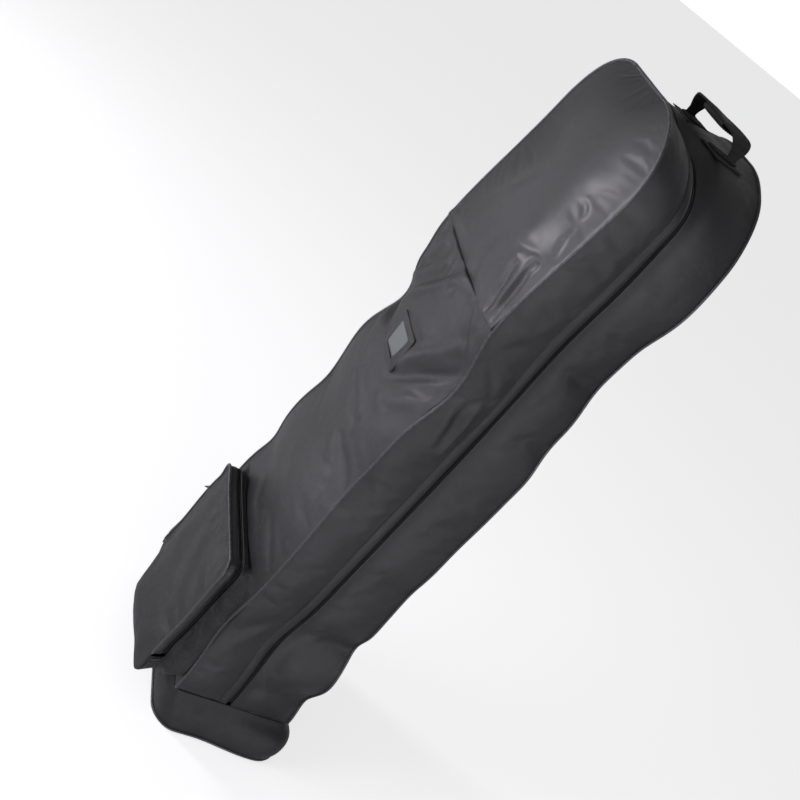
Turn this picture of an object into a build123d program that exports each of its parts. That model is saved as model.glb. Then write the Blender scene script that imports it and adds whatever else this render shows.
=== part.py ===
from build123d import *
import math
import os

# Soft golf travel case that stands on its boot.
#
# A deep back tray (boot, back panel and body gusset) is closed by a lid that carries the front panel, a
# padded head panel, a name card window and a shoe pocket. A zip runs up one side, over the head and down the
# other, so the lid folds forward on the seam above the boot. A webbing handle is sewn to the head end.
#
# Frame: +Z up, +X to the right seen from the front, -Y towards the front. The origin is the base's centre.
# Units are millimetres.

# Overall sizes
HALF_WIDTH = 157.0  # half the width of the shell, outside the fabric
FRONT_Y = -112.0  # outer face of the front panel
BACK_Y = 102.0  # outer face of the back panel
TOP_Z = 1212.0  # outside of the head end
HEAD_CORNER_R = 100.0  # rounding of the shell at the head

# Fabric and trim
WALL = 3.0  # padded fabric wall
FOAM = 6.0  # head foam sheets
PIPING_R = 2.2
TOUCH = 0.1  # gap between pieces sewn together
CLEAR = 0.3  # gap between pieces that move apart
PIPING_GAP = 0.3  # gap between a cord's casing and the seam it covers
FAR = 2000.0  # a length past every piece, for the solids that only cut

# Boot and base
BASE_FLARE = 17.0  # how far the base stands out past each side of the shell
BASE_TOE = 6.0  # how far it stands out past the deeper of front and back
BASE_HALF_WIDTH = HALF_WIDTH + BASE_FLARE
BASE_HALF_DEPTH = max(-FRONT_Y, BACK_Y) + BASE_TOE
BASE_CORNER_R = 45.0
BOOT_TOP_Z = 78.0
BOOT_TOP_CORNER_R = 12.0
BOARD_T = 4.0
BOARD_GAP = 2.0  # from the board's edge to the boot
FOLD_R = 1.2  # rolled seam that the lid folds on

# Main zip
ZIP_Y = -14.0  # centre of the zip, seen from the side
ZIP_HALF_GAP = 4.2  # from the zip's centre to each folded fabric edge
COIL_INNER = 0.9
COIL_OUTER = 3.3
COIL_TOP = 0.4  # depth of the coil's top below the shell's face
TAPE_T = 1.0
TAPE_HALF_WIDTH = 18.0
POCKET_TAPE_HALF_WIDTH = 12.0
ZIP_FOOT = 8.0  # from the boot's top to the ends of the main zip
HEM_WIDTH = 13.0
HEM_T = 1.2

# Zip slider and pull
SLIDER_HALF_WIDTH = 6.0
HEM_OFFSET = SLIDER_HALF_WIDTH + 1.0  # from the zip's centre to the hem that is stitched on the lid
SLIDER_LENGTH = 18.0
WING_T = 1.5
WEB_T = 1.0
WEB_LENGTH = 7.0
BRIDGE_WIDTH = 3.0
BRIDGE_RISE = 1.7
BRIDGE_T = 1.2
PULL_T = 0.9
PULL_LENGTH = 32.0
PULL_HALF_WIDTH = 4.6
PULL_ARM = 1.8
SLIDER_UPPER_Z = 640.0
SLIDER_LOWER_Z = 585.0

# Head panel, name card window
HEAD_SEAM_Z = 889.0
HEAD_HEM_HEIGHT = 11.0
HEAD_HEM_DROP = 2.0  # how far the hem hangs over the lower panel
HEAD_HEM_INSET = 3.0  # from the hem's ends to the shell's sides
FOAM_INSET = WALL + 12.0  # from the shell's face to the edge of the head foam
FOAM_TOP_T = 10.0
CARD_Z = 737.0
CARD_FRAME = (85.0, 64.0)
CARD_WINDOW = (53.0, 39.0)
CARD_SHEET = (57.0, 43.0)
CARD_SHEET_T = 0.4
CARD_FRAME_LIP = 0.9

# Shoe pocket on the lid: a tapered box whose top slopes down as it stands out from the front panel
POCKET_FOOT_Z = 96.0
POCKET_TOP_Z = 335.0
POCKET_HALF_BOTTOM = HALF_WIDTH - 25.0
POCKET_HALF_TOP = HALF_WIDTH - 37.0
POCKET_DEPTH_BOTTOM = 68.0
POCKET_DEPTH_TOP = 46.0
POCKET_TOP_LEAN = 0.37  # downward, for each unit of depth
POCKET_BOTTOM_LEAN = 0.06  # upward, for each unit of depth
POCKET_CORNER_R = 22.0
POCKET_ZIP_SETBACK = 19.0  # from the pocket's front back to the centre of its zip
POCKET_ZIP_FOOT = 32.0  # height of the zip's ends above the pocket's lower front edge
POCKET_SLIDER_Z = 262.0
POCKET_PULL_TILT = 38.0  # degrees that the stiff pull stands off the pocket's wall

# Top handle
HANDLE_Y = 40.0
HANDLE_HALF_SPAN = 76.0
HANDLE_RISE = 42.0
HANDLE_HALF_WIDTH = 19.0
STRAP_T = 3.0
HANDLE_PIVOT_RISE = 12.0
HANDLE_SHOULDER = 24.0  # height above the pivot at which the strap reaches its full width
HANDLE_BEND_R = 25.0
HANDLE_TAB_R = 8.0
GRIP_LENGTH = 64.0
GRIP_T = 3.0
FOOT_LENGTH = 36.0
FOOT_PATCH = (56.0, 52.0)

# Tie-down straps inside, on the back panel
TIE_HEIGHTS = {"lower": 330.0, "upper": 790.0}
TIE_WIDTH = 25.0
TIE_T = 1.5
SOCKET_SIZE = (34.0, 34.0, 9.0)
TONGUE_SIZE = (26.0, 30.0, 6.0)
SOCKET_WALL = 1.6
PRONG_LENGTH = 20.0
PRONG_HEIGHT = 4.0
TONGUE_BAR = 2.5  # solid end of the tongue before its web slot
TONGUE_TRAVEL = 20.0
WEB_GRIP = 4.0  # how far the left web is sewn into the socket
ANCHOR_SIZE = (22.0, 32.0)

PARTS = {}


def slab(sketch, y_front, y_back):
    """A sketch drawn in X and Z, made solid between two depths."""
    return extrude(Plane.XZ.offset(-y_back) * sketch, y_back - y_front)


def above(z):
    """All space above a height."""
    return Pos(0, 0, z) * Box(FAR, FAR, FAR, align=(Align.CENTER, Align.CENTER, Align.MIN))


def shell_outline(inset, bottom):
    """The shell seen from the front: square at the bottom, rounded at the head."""
    top = TOP_Z - inset
    half = HALF_WIDTH - inset
    blank = Pos(0, (bottom + top) / 2) * Rectangle(2 * half, top - bottom)
    corners = blank.vertices().group_by(Axis.Y)[-1]
    return fillet(corners, HEAD_CORNER_R - inset)


def shell_band(depth_in, depth_out, y_front, y_back, bottom):
    """A U-shaped band of the shell between two depths below its face."""
    outer = slab(shell_outline(depth_out, bottom), y_front, y_back)
    return outer - slab(shell_outline(depth_in, bottom - WALL), y_front - WALL, y_back + WALL)


def shell_cord(offset, y, bottom, radius):
    """A round cord that follows the shell's outline at a distance outside it."""
    half = HALF_WIDTH + offset
    top = TOP_Z + offset
    corners = [(-half, bottom), (-half, top), (half, top), (half, bottom)]
    path = FilletPolyline(*[(x, y, z) for x, z in corners], radius=HEAD_CORNER_R + offset)
    return sweep(Plane(path @ 0, z_dir=path % 0) * Circle(radius), path=path)


def rounded(half_width, y_front, y_back, radius):
    """A rounded rectangle seen from above."""
    blank = Pos(0, (y_front + y_back) / 2) * Rectangle(2 * half_width, y_back - y_front)
    return fillet(blank.vertices(), radius)


def base_outline(inset):
    return rounded(
        BASE_HALF_WIDTH - inset, -BASE_HALF_DEPTH + inset, BASE_HALF_DEPTH - inset, BASE_CORNER_R - inset
    )


def base_and_boot():
    """The bottom sheet, its stiffener and the tapered boot sewn round them."""
    PARTS["base_panel"] = extrude(base_outline(0), WALL)

    def cup(inset):
        low = base_outline(inset)
        high = rounded(HALF_WIDTH - inset, FRONT_Y + inset, BACK_Y - inset, BOOT_TOP_CORNER_R - inset)
        return loft([Pos(0, 0, WALL + TOUCH) * low, Pos(0, 0, BOOT_TOP_Z) * high], ruled=True)

    PARTS["base_boot"] = cup(0) - cup(WALL)
    PARTS["base_board"] = Pos(0, 0, WALL + TOUCH) * extrude(base_outline(WALL + BOARD_GAP), BOARD_T)
    ring = base_outline(-PIPING_R - PIPING_GAP)
    path = Pos(0, 0, WALL + PIPING_R / 2) * ring.wires()[0]
    PARTS["base_piping"] = sweep(Plane(path @ 0, z_dir=path % 0) * Circle(PIPING_R), path=path)


def body_shell():
    """The back panel, the band round it and the piping on its edge."""
    bottom = BOOT_TOP_Z + TOUCH
    PARTS["back_panel"] = slab(shell_outline(0, bottom), BACK_Y - WALL, BACK_Y)
    PARTS["body_gusset"] = shell_band(WALL, 0, ZIP_Y + ZIP_HALF_GAP, BACK_Y - WALL - TOUCH, bottom)
    PARTS["rear_piping"] = shell_cord(PIPING_R + PIPING_GAP, BACK_Y - WALL / 2, bottom + PIPING_R, PIPING_R)
    lining_y = BACK_Y - WALL - TOUCH
    PARTS["head_foam_back"] = slab(shell_outline(FOAM_INSET, HEAD_SEAM_Z), lining_y - FOAM, lining_y)
    flat_width = 2 * (HALF_WIDTH - HEAD_CORNER_R) - FOAM_INSET
    foam_front = ZIP_Y + TAPE_HALF_WIDTH + CLEAR
    depth = lining_y - FOAM - CLEAR - foam_front
    block = Box(flat_width, depth, FOAM_TOP_T, align=(Align.CENTER, Align.MIN, Align.MAX))
    PARTS["head_foam_top"] = Pos(0, foam_front, TOP_Z - WALL - TOUCH) * block


def zip_half(side, bottom):
    """The tape and the coil on one side of the main zip: side is 1 for the body, -1 for the lid."""
    near, far = ZIP_Y + side * COIL_INNER, ZIP_Y + side * COIL_OUTER
    edge = ZIP_Y + side * TAPE_HALF_WIDTH
    tape_top = WALL + TOUCH
    tape = shell_band(tape_top + TAPE_T, tape_top, min(near, edge), max(near, edge), bottom)
    coil = shell_band(tape_top - TOUCH, COIL_TOP, min(near, far), max(near, far), bottom)
    return tape, coil


def main_zip():
    bottom = BOOT_TOP_Z + ZIP_FOOT
    PARTS["body_zip_tape"], PARTS["body_zip_coil"] = zip_half(1, bottom)
    PARTS["lid_zip_tape"], PARTS["lid_zip_coil"] = zip_half(-1, bottom)


def lid_shell():
    """Front and head panels, the lid's band, its piping, hem and foam, and the seam that the lid folds on."""
    fold_y = FRONT_Y + FOLD_R
    fold_z = BOOT_TOP_Z + CLEAR + FOLD_R
    bottom = fold_z + FOLD_R + CLEAR
    reach = HALF_WIDTH - BOOT_TOP_CORNER_R
    cord = Cylinder(FOLD_R, 2 * reach, rotation=(0, 90, 0))
    PARTS["fold_seam"] = Pos(0, fold_y, BOOT_TOP_Z + FOLD_R + TOUCH) * cord
    face = slab(shell_outline(0, bottom), FRONT_Y, FRONT_Y + WALL)
    PARTS["front_panel"] = face - above(HEAD_SEAM_Z)
    PARTS["head_panel"] = face & above(HEAD_SEAM_Z + TOUCH)
    hem_width = 2 * (HALF_WIDTH - HEAD_HEM_INSET)
    hem = Box(hem_width, HEM_T, HEAD_HEM_HEIGHT, align=(Align.CENTER, Align.MAX, Align.MIN))
    PARTS["head_panel_hem"] = Pos(0, FRONT_Y - TOUCH, HEAD_SEAM_Z - HEAD_HEM_DROP) * hem
    PARTS["lid_gusset"] = shell_band(WALL, 0, FRONT_Y + WALL + TOUCH, ZIP_Y - ZIP_HALF_GAP, bottom)
    PARTS["front_piping"] = shell_cord(PIPING_R + PIPING_GAP, FRONT_Y + WALL / 2, bottom + PIPING_R, PIPING_R)
    hem_back = ZIP_Y - HEM_OFFSET
    PARTS["zip_hem"] = shell_band(-TOUCH, -TOUCH - HEM_T, hem_back - HEM_WIDTH, hem_back, bottom)
    lining_y = FRONT_Y + WALL + TOUCH
    PARTS["head_foam_front"] = slab(shell_outline(FOAM_INSET, HEAD_SEAM_Z), lining_y, lining_y + FOAM)


def card_window():
    """The name card behind its clear sheet, in a sewn-on frame that is open at the top for the card."""

    def plate(size, y_front, y_back):
        return slab(Pos(0, CARD_Z) * Rectangle(*size), y_front, y_back)

    frame_back = FRONT_Y - TOUCH
    card_back = FRONT_Y - CLEAR
    card_front = card_back - CARD_SHEET_T
    sheet_back = card_front - CLEAR
    sheet_front = sheet_back - CARD_SHEET_T
    lip_back = sheet_front - TOUCH
    PARTS["name_card"] = plate(CARD_SHEET, card_front, card_back)
    PARTS["card_window"] = plate(CARD_SHEET, sheet_front, sheet_back)
    frame = plate(CARD_FRAME, lip_back - CARD_FRAME_LIP, frame_back)
    frame -= plate(CARD_WINDOW, lip_back - CARD_FRAME_LIP - 1, frame_back + 1)
    frame -= plate((CARD_SHEET[0] + 2 * TOUCH, CARD_SHEET[1] + 2 * TOUCH), lip_back, sheet_back)
    slot_bottom = CARD_Z - CARD_SHEET[1] / 2 - CLEAR
    slot = Rectangle(CARD_SHEET[0] + 2 * CLEAR, CARD_FRAME[1], align=(Align.CENTER, Align.MIN))
    PARTS["card_frame"] = frame - slab(Pos(0, slot_bottom) * slot, sheet_back, frame_back + 1)


# The pocket's front leans back from its lower edge, and its zip lies in a plane behind the front
POCKET_EDGE_Y = FRONT_Y - POCKET_DEPTH_BOTTOM
POCKET_EDGE_Z = POCKET_FOOT_Z + POCKET_BOTTOM_LEAN * POCKET_DEPTH_BOTTOM
POCKET_RISE = POCKET_TOP_Z - POCKET_TOP_LEAN * POCKET_DEPTH_TOP - POCKET_EDGE_Z
POCKET_LEAN = (POCKET_DEPTH_BOTTOM - POCKET_DEPTH_TOP) / POCKET_RISE
POCKET_TAPER = (POCKET_HALF_BOTTOM - POCKET_HALF_TOP) / (POCKET_TOP_Z - POCKET_FOOT_Z)
POCKET_FRONT = Plane((0, POCKET_EDGE_Y, POCKET_EDGE_Z), x_dir=(1, 0, 0), z_dir=(0, -1, POCKET_LEAN))
POCKET_ZIP = POCKET_FRONT.offset(-POCKET_ZIP_SETBACK)


def pocket_half_width(z):
    """Half the pocket's width at a height: it narrows towards the top."""
    return POCKET_HALF_BOTTOM - POCKET_TAPER * (z - POCKET_FOOT_Z)


def pocket_section(depth, inset):
    """The pocket's outline at a depth in front of the lid, drawn in X and Z."""
    low = POCKET_FOOT_Z + POCKET_BOTTOM_LEAN * depth + inset
    high = POCKET_TOP_Z - POCKET_TOP_LEAN * depth - inset
    half_low = pocket_half_width(low) - inset
    half_high = pocket_half_width(high) - inset
    corners = [(-half_low, low), (half_low, low), (half_high, high), (-half_high, high)]
    return fillet(make_face(Polyline(*corners, close=True)).vertices(), POCKET_CORNER_R - inset)


def layer(plane, low, high):
    """All space between two distances above a plane."""
    return plane * Pos(0, 0, low) * Box(FAR, FAR, high - low, align=(Align.CENTER, Align.CENTER, Align.MIN))


def pocket_block(inset):
    """The pocket's outside as a solid that runs on past its front, or the same drawn in by a wall."""
    end_depth = POCKET_DEPTH_BOTTOM + POCKET_CORNER_R
    near = Plane.XZ.offset(-(FRONT_Y - TOUCH)) * pocket_section(0, inset)
    end = Plane.XZ.offset(-(FRONT_Y - end_depth)) * pocket_section(end_depth, inset)
    return loft([near, end], ruled=True)


def pocket_ring(depth_out, depth_in):
    """The pocket's side walls between two depths below their face, with no front."""
    return pocket_block(depth_out) - pocket_block(depth_in)


def pocket():
    """The shoe pocket: walls sewn to the lid, a front that swings down, and a zip round three sides."""
    walls = pocket_ring(0, WALL)
    behind_panel = layer(POCKET_FRONT, -FAR, -WALL - TOUCH)
    above_floor = above(POCKET_EDGE_Z + 2 * WALL)
    side_wall = walls & layer(POCKET_ZIP, -FAR, -ZIP_HALF_GAP) & above_floor
    floor_wall = (walls & layer(POCKET_FRONT, -FAR, -WALL - CLEAR)) - above_floor
    PARTS["pocket_gusset"] = side_wall + floor_wall
    PARTS["pocket_flap_gusset"] = walls & layer(POCKET_ZIP, ZIP_HALF_GAP, FAR) & behind_panel & above_floor
    panel = pocket_block(0) & layer(POCKET_FRONT, -WALL, 0)
    PARTS["pocket_panel"] = panel & above(POCKET_EDGE_Z + FOLD_R + CLEAR)
    seam = Cylinder(FOLD_R, 2 * (POCKET_HALF_BOTTOM - POCKET_CORNER_R), rotation=(0, 90, 0))
    PARTS["pocket_fold_seam"] = Pos(0, POCKET_EDGE_Y + WALL / 2, POCKET_EDGE_Z) * seam

    zip_zone = behind_panel & above(POCKET_EDGE_Z + POCKET_ZIP_FOOT)
    tape_ring = pocket_ring(WALL + TOUCH, WALL + TOUCH + TAPE_T) & zip_zone
    coil_ring = pocket_ring(COIL_TOP, WALL) & zip_zone
    PARTS["pocket_zip_tape"] = tape_ring & layer(POCKET_ZIP, -POCKET_TAPE_HALF_WIDTH, -COIL_INNER)
    PARTS["pocket_zip_coil"] = coil_ring & layer(POCKET_ZIP, -COIL_OUTER, -COIL_INNER)
    PARTS["pocket_flap_tape"] = tape_ring & layer(POCKET_ZIP, COIL_INNER, POCKET_TAPE_HALF_WIDTH)
    PARTS["pocket_flap_coil"] = coil_ring & layer(POCKET_ZIP, COIL_INNER, COIL_OUTER)


def pocket_piping():
    """A cord round the sides and the top of the pocket's front."""
    out = PIPING_R + PIPING_GAP
    sink = WALL / 2
    side_out = out * math.hypot(1, POCKET_TAPER)
    low_z = POCKET_EDGE_Z + 2 * WALL + POCKET_CORNER_R
    high_z = POCKET_TOP_Z - POCKET_TOP_LEAN * (POCKET_DEPTH_TOP - sink) + out * math.hypot(1, POCKET_TOP_LEAN)

    def corner(side, z):
        y = POCKET_EDGE_Y + POCKET_LEAN * (z - POCKET_EDGE_Z) + sink
        return (side * (pocket_half_width(z) + side_out), y, z)

    points = [corner(-1, low_z), corner(-1, high_z), corner(1, high_z), corner(1, low_z)]
    path = FilletPolyline(*points, radius=POCKET_CORNER_R + out)
    PARTS["pocket_piping"] = sweep(Plane(path @ 0, z_dir=path % 0) * Circle(PIPING_R), path=path)


def slider_body():
    """A zip slider in its own frame: X across the zip, Y along it, Z out of the shell's face."""
    wing = Box(2 * SLIDER_HALF_WIDTH, SLIDER_LENGTH, WING_T, align=(Align.CENTER, Align.CENTER, Align.MIN))
    low_top = -(WALL + TOUCH + TAPE_T + CLEAR)
    web = Box(WEB_T, WEB_LENGTH, CLEAR - low_top + 0.5, align=(Align.CENTER, Align.CENTER, Align.MIN))
    body = Pos(0, 0, CLEAR) * wing + Pos(0, 0, low_top - WING_T) * wing + Pos(0, 0, low_top - 0.25) * web
    face = CLEAR + WING_T
    post_y = SLIDER_LENGTH / 2 - 2.0
    for side in (-1, 1):
        post = Box(BRIDGE_WIDTH, 2.0, BRIDGE_RISE + BRIDGE_T, align=(Align.CENTER, Align.CENTER, Align.MIN))
        body += Pos(0, side * post_y, face) * post
    beam = Box(BRIDGE_WIDTH, 2 * post_y, BRIDGE_T, align=(Align.CENTER, Align.CENTER, Align.MIN))
    return body + Pos(0, 0, face + BRIDGE_RISE) * beam


PULL_AXIS_RISE = CLEAR + WING_T + BRIDGE_RISE / 2  # the pull's pivot above the shell's face


def pull_tab():
    """A pull whose crossbar lies under the slider's bridge, hanging towards -Y in the slider's frame."""
    top = PULL_T / 2
    outline = Pos(0, (top - PULL_LENGTH) / 2) * Rectangle(2 * PULL_HALF_WIDTH, PULL_LENGTH + top)
    window_length = SLIDER_LENGTH / 2 + 1.5
    window = Rectangle(2 * (PULL_HALF_WIDTH - PULL_ARM), window_length, align=(Align.CENTER, Align.MAX))
    outline -= Pos(0, -top) * window
    outline = fillet(outline.vertices().group_by(Axis.Y)[0], 3.0)
    cord_hole = Pos(0, -PULL_LENGTH + 5) * Circle(1.6)
    return Pos(0, 0, -PULL_T / 2) * extrude(outline - cord_hole, PULL_T)


def main_sliders():
    """Two sliders on the left run of the zip, each with a pull that hangs down."""
    for name, z in (("upper", SLIDER_UPPER_Z), ("lower", SLIDER_LOWER_Z)):
        seat = Plane((-HALF_WIDTH, ZIP_Y, z), x_dir=(0, -1, 0), z_dir=(-1, 0, 0))
        PARTS[f"slider_{name}"] = seat * slider_body()
        PARTS[f"slider_pull_{name}"] = seat * Pos(0, 0, PULL_AXIS_RISE) * pull_tab()


def pocket_slider_seat():
    """The frame of the pocket's slider, on the left wall where the zip's plane cuts it."""
    setback = POCKET_ZIP_SETBACK * math.hypot(1, POCKET_LEAN)

    def rail(z):
        return Vector(-pocket_half_width(z), POCKET_EDGE_Y + setback + POCKET_LEAN * (z - POCKET_EDGE_Z), z)

    normal = Vector(-1, 0, POCKET_TAPER).normalized()
    along = (rail(POCKET_SLIDER_Z + 1) - rail(POCKET_SLIDER_Z)).normalized()
    return Plane(rail(POCKET_SLIDER_Z), x_dir=along.cross(normal), z_dir=normal)


def pocket_slider():
    seat = pocket_slider_seat()
    PARTS["pocket_slider"] = seat * slider_body()
    tilt = Rot(-POCKET_PULL_TILT, 0, 0)
    PARTS["pocket_pull"] = seat * Pos(0, 0, PULL_AXIS_RISE) * tilt * pull_tab()


def handle():
    """The webbing handle on the head end: sewn feet with patches under them, and an arch that swings."""
    pivot_z = TOP_Z + HANDLE_PIVOT_RISE
    arch_top = TOP_Z + HANDLE_RISE

    def arch(inset, low):
        blank = Pos(0, (low + arch_top - inset) / 2) * Rectangle(
            2 * (HANDLE_HALF_SPAN - inset), arch_top - inset - low
        )
        return fillet(blank.vertices().group_by(Axis.Y)[-1], HANDLE_BEND_R - inset)

    foot_z = TOP_Z + 2 * STRAP_T / 3
    low = pivot_z - HANDLE_TAB_R
    y_front, y_back = HANDLE_Y - HANDLE_HALF_WIDTH, HANDLE_Y + HANDLE_HALF_WIDTH
    strap = slab(arch(0, low) - arch(STRAP_T, low - 5), y_front, y_back)
    full_z = pivot_z + HANDLE_SHOULDER
    tab = Pos(HANDLE_Y, pivot_z) * Circle(HANDLE_TAB_R)
    shoulder = make_face(
        Polyline(
            (HANDLE_Y - HANDLE_TAB_R, pivot_z),
            (HANDLE_Y + HANDLE_TAB_R, pivot_z),
            (y_back, full_z),
            (y_back, arch_top + 5),
            (y_front, arch_top + 5),
            (y_front, full_z),
            close=True,
        )
    )
    side_view = extrude(Plane.YZ * (tab + shoulder), HANDLE_HALF_SPAN + 5, both=True)
    PARTS["handle_strap"] = strap & side_view
    grip = Box(GRIP_LENGTH, 2 * (HANDLE_HALF_WIDTH + GRIP_T + CLEAR), STRAP_T + 2 * (GRIP_T + CLEAR))
    slot = Box(GRIP_LENGTH + 2, 2 * (HANDLE_HALF_WIDTH + CLEAR), STRAP_T + 2 * CLEAR)
    grip = fillet(grip.edges().filter_by(Axis.X), GRIP_T)
    PARTS["handle_grip"] = Pos(0, HANDLE_Y, arch_top - STRAP_T / 2) * (grip - slot)
    feet, patches = [], []
    for side in (-1, 1):
        inner = HANDLE_HALF_SPAN - STRAP_T - CLEAR
        ear_x = inner - STRAP_T
        ear_height = pivot_z + HANDLE_TAB_R / 2 - foot_z
        ear = Box(STRAP_T, 2 * HANDLE_TAB_R, ear_height, align=(Align.CENTER, Align.CENTER, Align.MIN))
        sole = Box(
            FOOT_LENGTH, 2 * HANDLE_HALF_WIDTH, STRAP_T, align=(Align.MAX, Align.CENTER, Align.MIN)
        )
        foot = Pos(ear_x + STRAP_T / 2, 0, foot_z) * ear + Pos(ear_x + STRAP_T, 0, foot_z) * sole
        patch = Box(*FOOT_PATCH, STRAP_T / 2, align=(Align.CENTER, Align.CENTER, Align.MIN))
        patch = Pos(ear_x + STRAP_T - FOOT_LENGTH / 2, 0, TOP_Z + TOUCH) * patch
        turn = Pos(0, HANDLE_Y, 0) * Rot(0, 0, 0 if side > 0 else 180)
        feet.append(turn * foot)
        patches.append(turn * patch)
    PARTS["handle_feet"] = Compound(children=feet)
    PARTS["handle_patches"] = Compound(children=patches)


def tie_straps():
    """Two tie-down straps on the back panel, each closed by a socket and a tongue that slides on its web."""
    lining = BACK_Y - WALL - TOUCH
    length, height, depth = SOCKET_SIZE
    bore_depth, bore_height = depth - 2 * SOCKET_WALL, height - 2 * SOCKET_WALL
    tongue_length, tongue_height, tongue_depth = TONGUE_SIZE
    half_in = HALF_WIDTH - WALL - TOUCH
    y = lining - CLEAR - depth / 2
    right_start = TONGUE_BAR + TONGUE_TRAVEL + 2 * CLEAR
    to_left, to_right = (Align.MAX, Align.CENTER, Align.CENTER), (Align.MIN, Align.CENTER, Align.CENTER)

    socket = Box(length, depth, height, align=to_left)
    socket -= Pos(TOUCH, 0, 0) * Box(PRONG_LENGTH, bore_depth, bore_height, align=to_left)
    left_gap = TIE_T + 2 * TOUCH, TIE_WIDTH + 2 * TOUCH
    socket -= Pos(-length + WEB_GRIP, 0, 0) * Box(2 * WEB_GRIP, *left_gap, align=to_left)

    tongue = Pos(CLEAR, 0, 0) * Box(tongue_length, tongue_depth, tongue_height, align=to_right)
    prong = Box(PRONG_LENGTH - 2, bore_depth - 2 * CLEAR, PRONG_HEIGHT, align=to_left)
    prong_reach = bore_height / 2 - PRONG_HEIGHT / 2 - CLEAR
    for side in (-1, 0, 1):
        tongue += Pos(2 * CLEAR, 0, side * prong_reach) * prong
    right_gap = TIE_T + 2 * CLEAR, TIE_WIDTH + 2 * CLEAR
    tongue -= Pos(CLEAR + TONGUE_BAR, 0, 0) * Box(tongue_length, *right_gap, align=to_right)

    left_web = Box(half_in - length + WEB_GRIP - TOUCH, TIE_T, TIE_WIDTH, align=to_right)
    right_web = Box(half_in - right_start, TIE_T, TIE_WIDTH, align=to_right)
    anchor_depth = lining - y - TIE_T / 2 - TOUCH
    anchor = Box(ANCHOR_SIZE[0], anchor_depth, ANCHOR_SIZE[1], align=(Align.CENTER, Align.MAX, Align.CENTER))
    anchor_x = half_in - ANCHOR_SIZE[0] / 2 - WALL
    for name, z in TIE_HEIGHTS.items():
        PARTS[f"tie_socket_{name}"] = Pos(0, y, z) * socket
        PARTS[f"tie_tongue_{name}"] = Pos(0, y, z) * tongue
        webs = [Pos(-half_in, y, z) * left_web, Pos(right_start, y, z) * right_web]
        PARTS[f"tie_webbing_{name}"] = Compound(children=webs)
        anchors = [Pos(side * anchor_x, lining, z) * anchor for side in (-1, 1)]
        PARTS[f"tie_anchors_{name}"] = Compound(children=anchors)


def main():
    base_and_boot()
    body_shell()
    main_zip()
    lid_shell()
    card_window()
    pocket()
    pocket_piping()
    main_sliders()
    pocket_slider()
    handle()
    tie_straps()
    os.makedirs("parts", exist_ok=True)
    for name, shape in PARTS.items():
        export_step(shape, f"parts/{name}.step")
    seat = pocket_slider_seat()
    pivot = seat * Pos(0, 0, PULL_AXIS_RISE)
    print("pocket slider runs along", seat.y_dir)
    print("pocket pull turns about", seat.x_dir, "at", pivot.position)
    print("pocket flap turns at", POCKET_EDGE_Y + WALL / 2, POCKET_EDGE_Z)


main()
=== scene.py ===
import bmesh
import bpy
import math
import numpy as np
from bpy.props import FloatProperty, FloatVectorProperty, PointerProperty
from mathutils import Matrix, Vector, noise


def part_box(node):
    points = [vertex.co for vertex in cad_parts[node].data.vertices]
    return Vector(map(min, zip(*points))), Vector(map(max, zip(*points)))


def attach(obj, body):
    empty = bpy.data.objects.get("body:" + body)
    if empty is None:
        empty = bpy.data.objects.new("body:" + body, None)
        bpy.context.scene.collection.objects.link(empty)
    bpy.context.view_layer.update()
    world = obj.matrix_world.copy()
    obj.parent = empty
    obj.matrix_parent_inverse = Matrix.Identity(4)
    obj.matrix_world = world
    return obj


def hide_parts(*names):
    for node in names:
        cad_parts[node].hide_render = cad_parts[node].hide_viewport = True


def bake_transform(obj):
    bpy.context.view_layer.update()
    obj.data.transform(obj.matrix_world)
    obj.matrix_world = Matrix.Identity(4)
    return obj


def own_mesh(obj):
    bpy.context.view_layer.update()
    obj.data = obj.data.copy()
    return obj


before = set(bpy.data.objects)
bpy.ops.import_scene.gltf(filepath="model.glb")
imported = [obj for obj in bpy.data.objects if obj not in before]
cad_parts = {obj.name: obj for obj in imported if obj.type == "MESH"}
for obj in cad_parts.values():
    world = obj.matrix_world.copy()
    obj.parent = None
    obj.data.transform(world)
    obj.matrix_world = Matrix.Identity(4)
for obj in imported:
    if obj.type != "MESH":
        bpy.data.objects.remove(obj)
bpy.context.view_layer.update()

bl_info = {
    "name": "Golf travel case",
    "version": (1, 0, 0),
    "blender": (4, 5, 0),
    "location": "3D View > Sidebar > Golf case",
    "description": "Fabric, zips, pocket, handle and finishes of a soft golf travel case",
    "category": "Object",
}

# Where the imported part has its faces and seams, in metres
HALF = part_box("back_panel")[1].x
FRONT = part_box("front_panel")[0].y
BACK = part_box("back_panel")[1].y
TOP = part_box("back_panel")[1].z
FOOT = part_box("front_panel")[0].z
BODY_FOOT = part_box("back_panel")[0].z
BOOT_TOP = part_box("base_boot")[1].z
SEAM_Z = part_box("front_panel")[1].z
BODY_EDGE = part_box("body_gusset")[0].y
LID_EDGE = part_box("lid_gusset")[1].y
ZIP_Y = (BODY_EDGE + LID_EDGE) / 2
ZIP_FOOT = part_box("body_zip_coil")[0].z
HEM_LOW_Y, HEM_HIGH_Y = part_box("zip_hem")[0].y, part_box("zip_hem")[1].y
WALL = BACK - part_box("back_panel")[0].y
HEAD_R = 0.1
BASE_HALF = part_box("base_panel")[1].x
BASE_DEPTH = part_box("base_panel")[1].y
BASE_R = 0.045
PIPING_R = 0.0022

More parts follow.
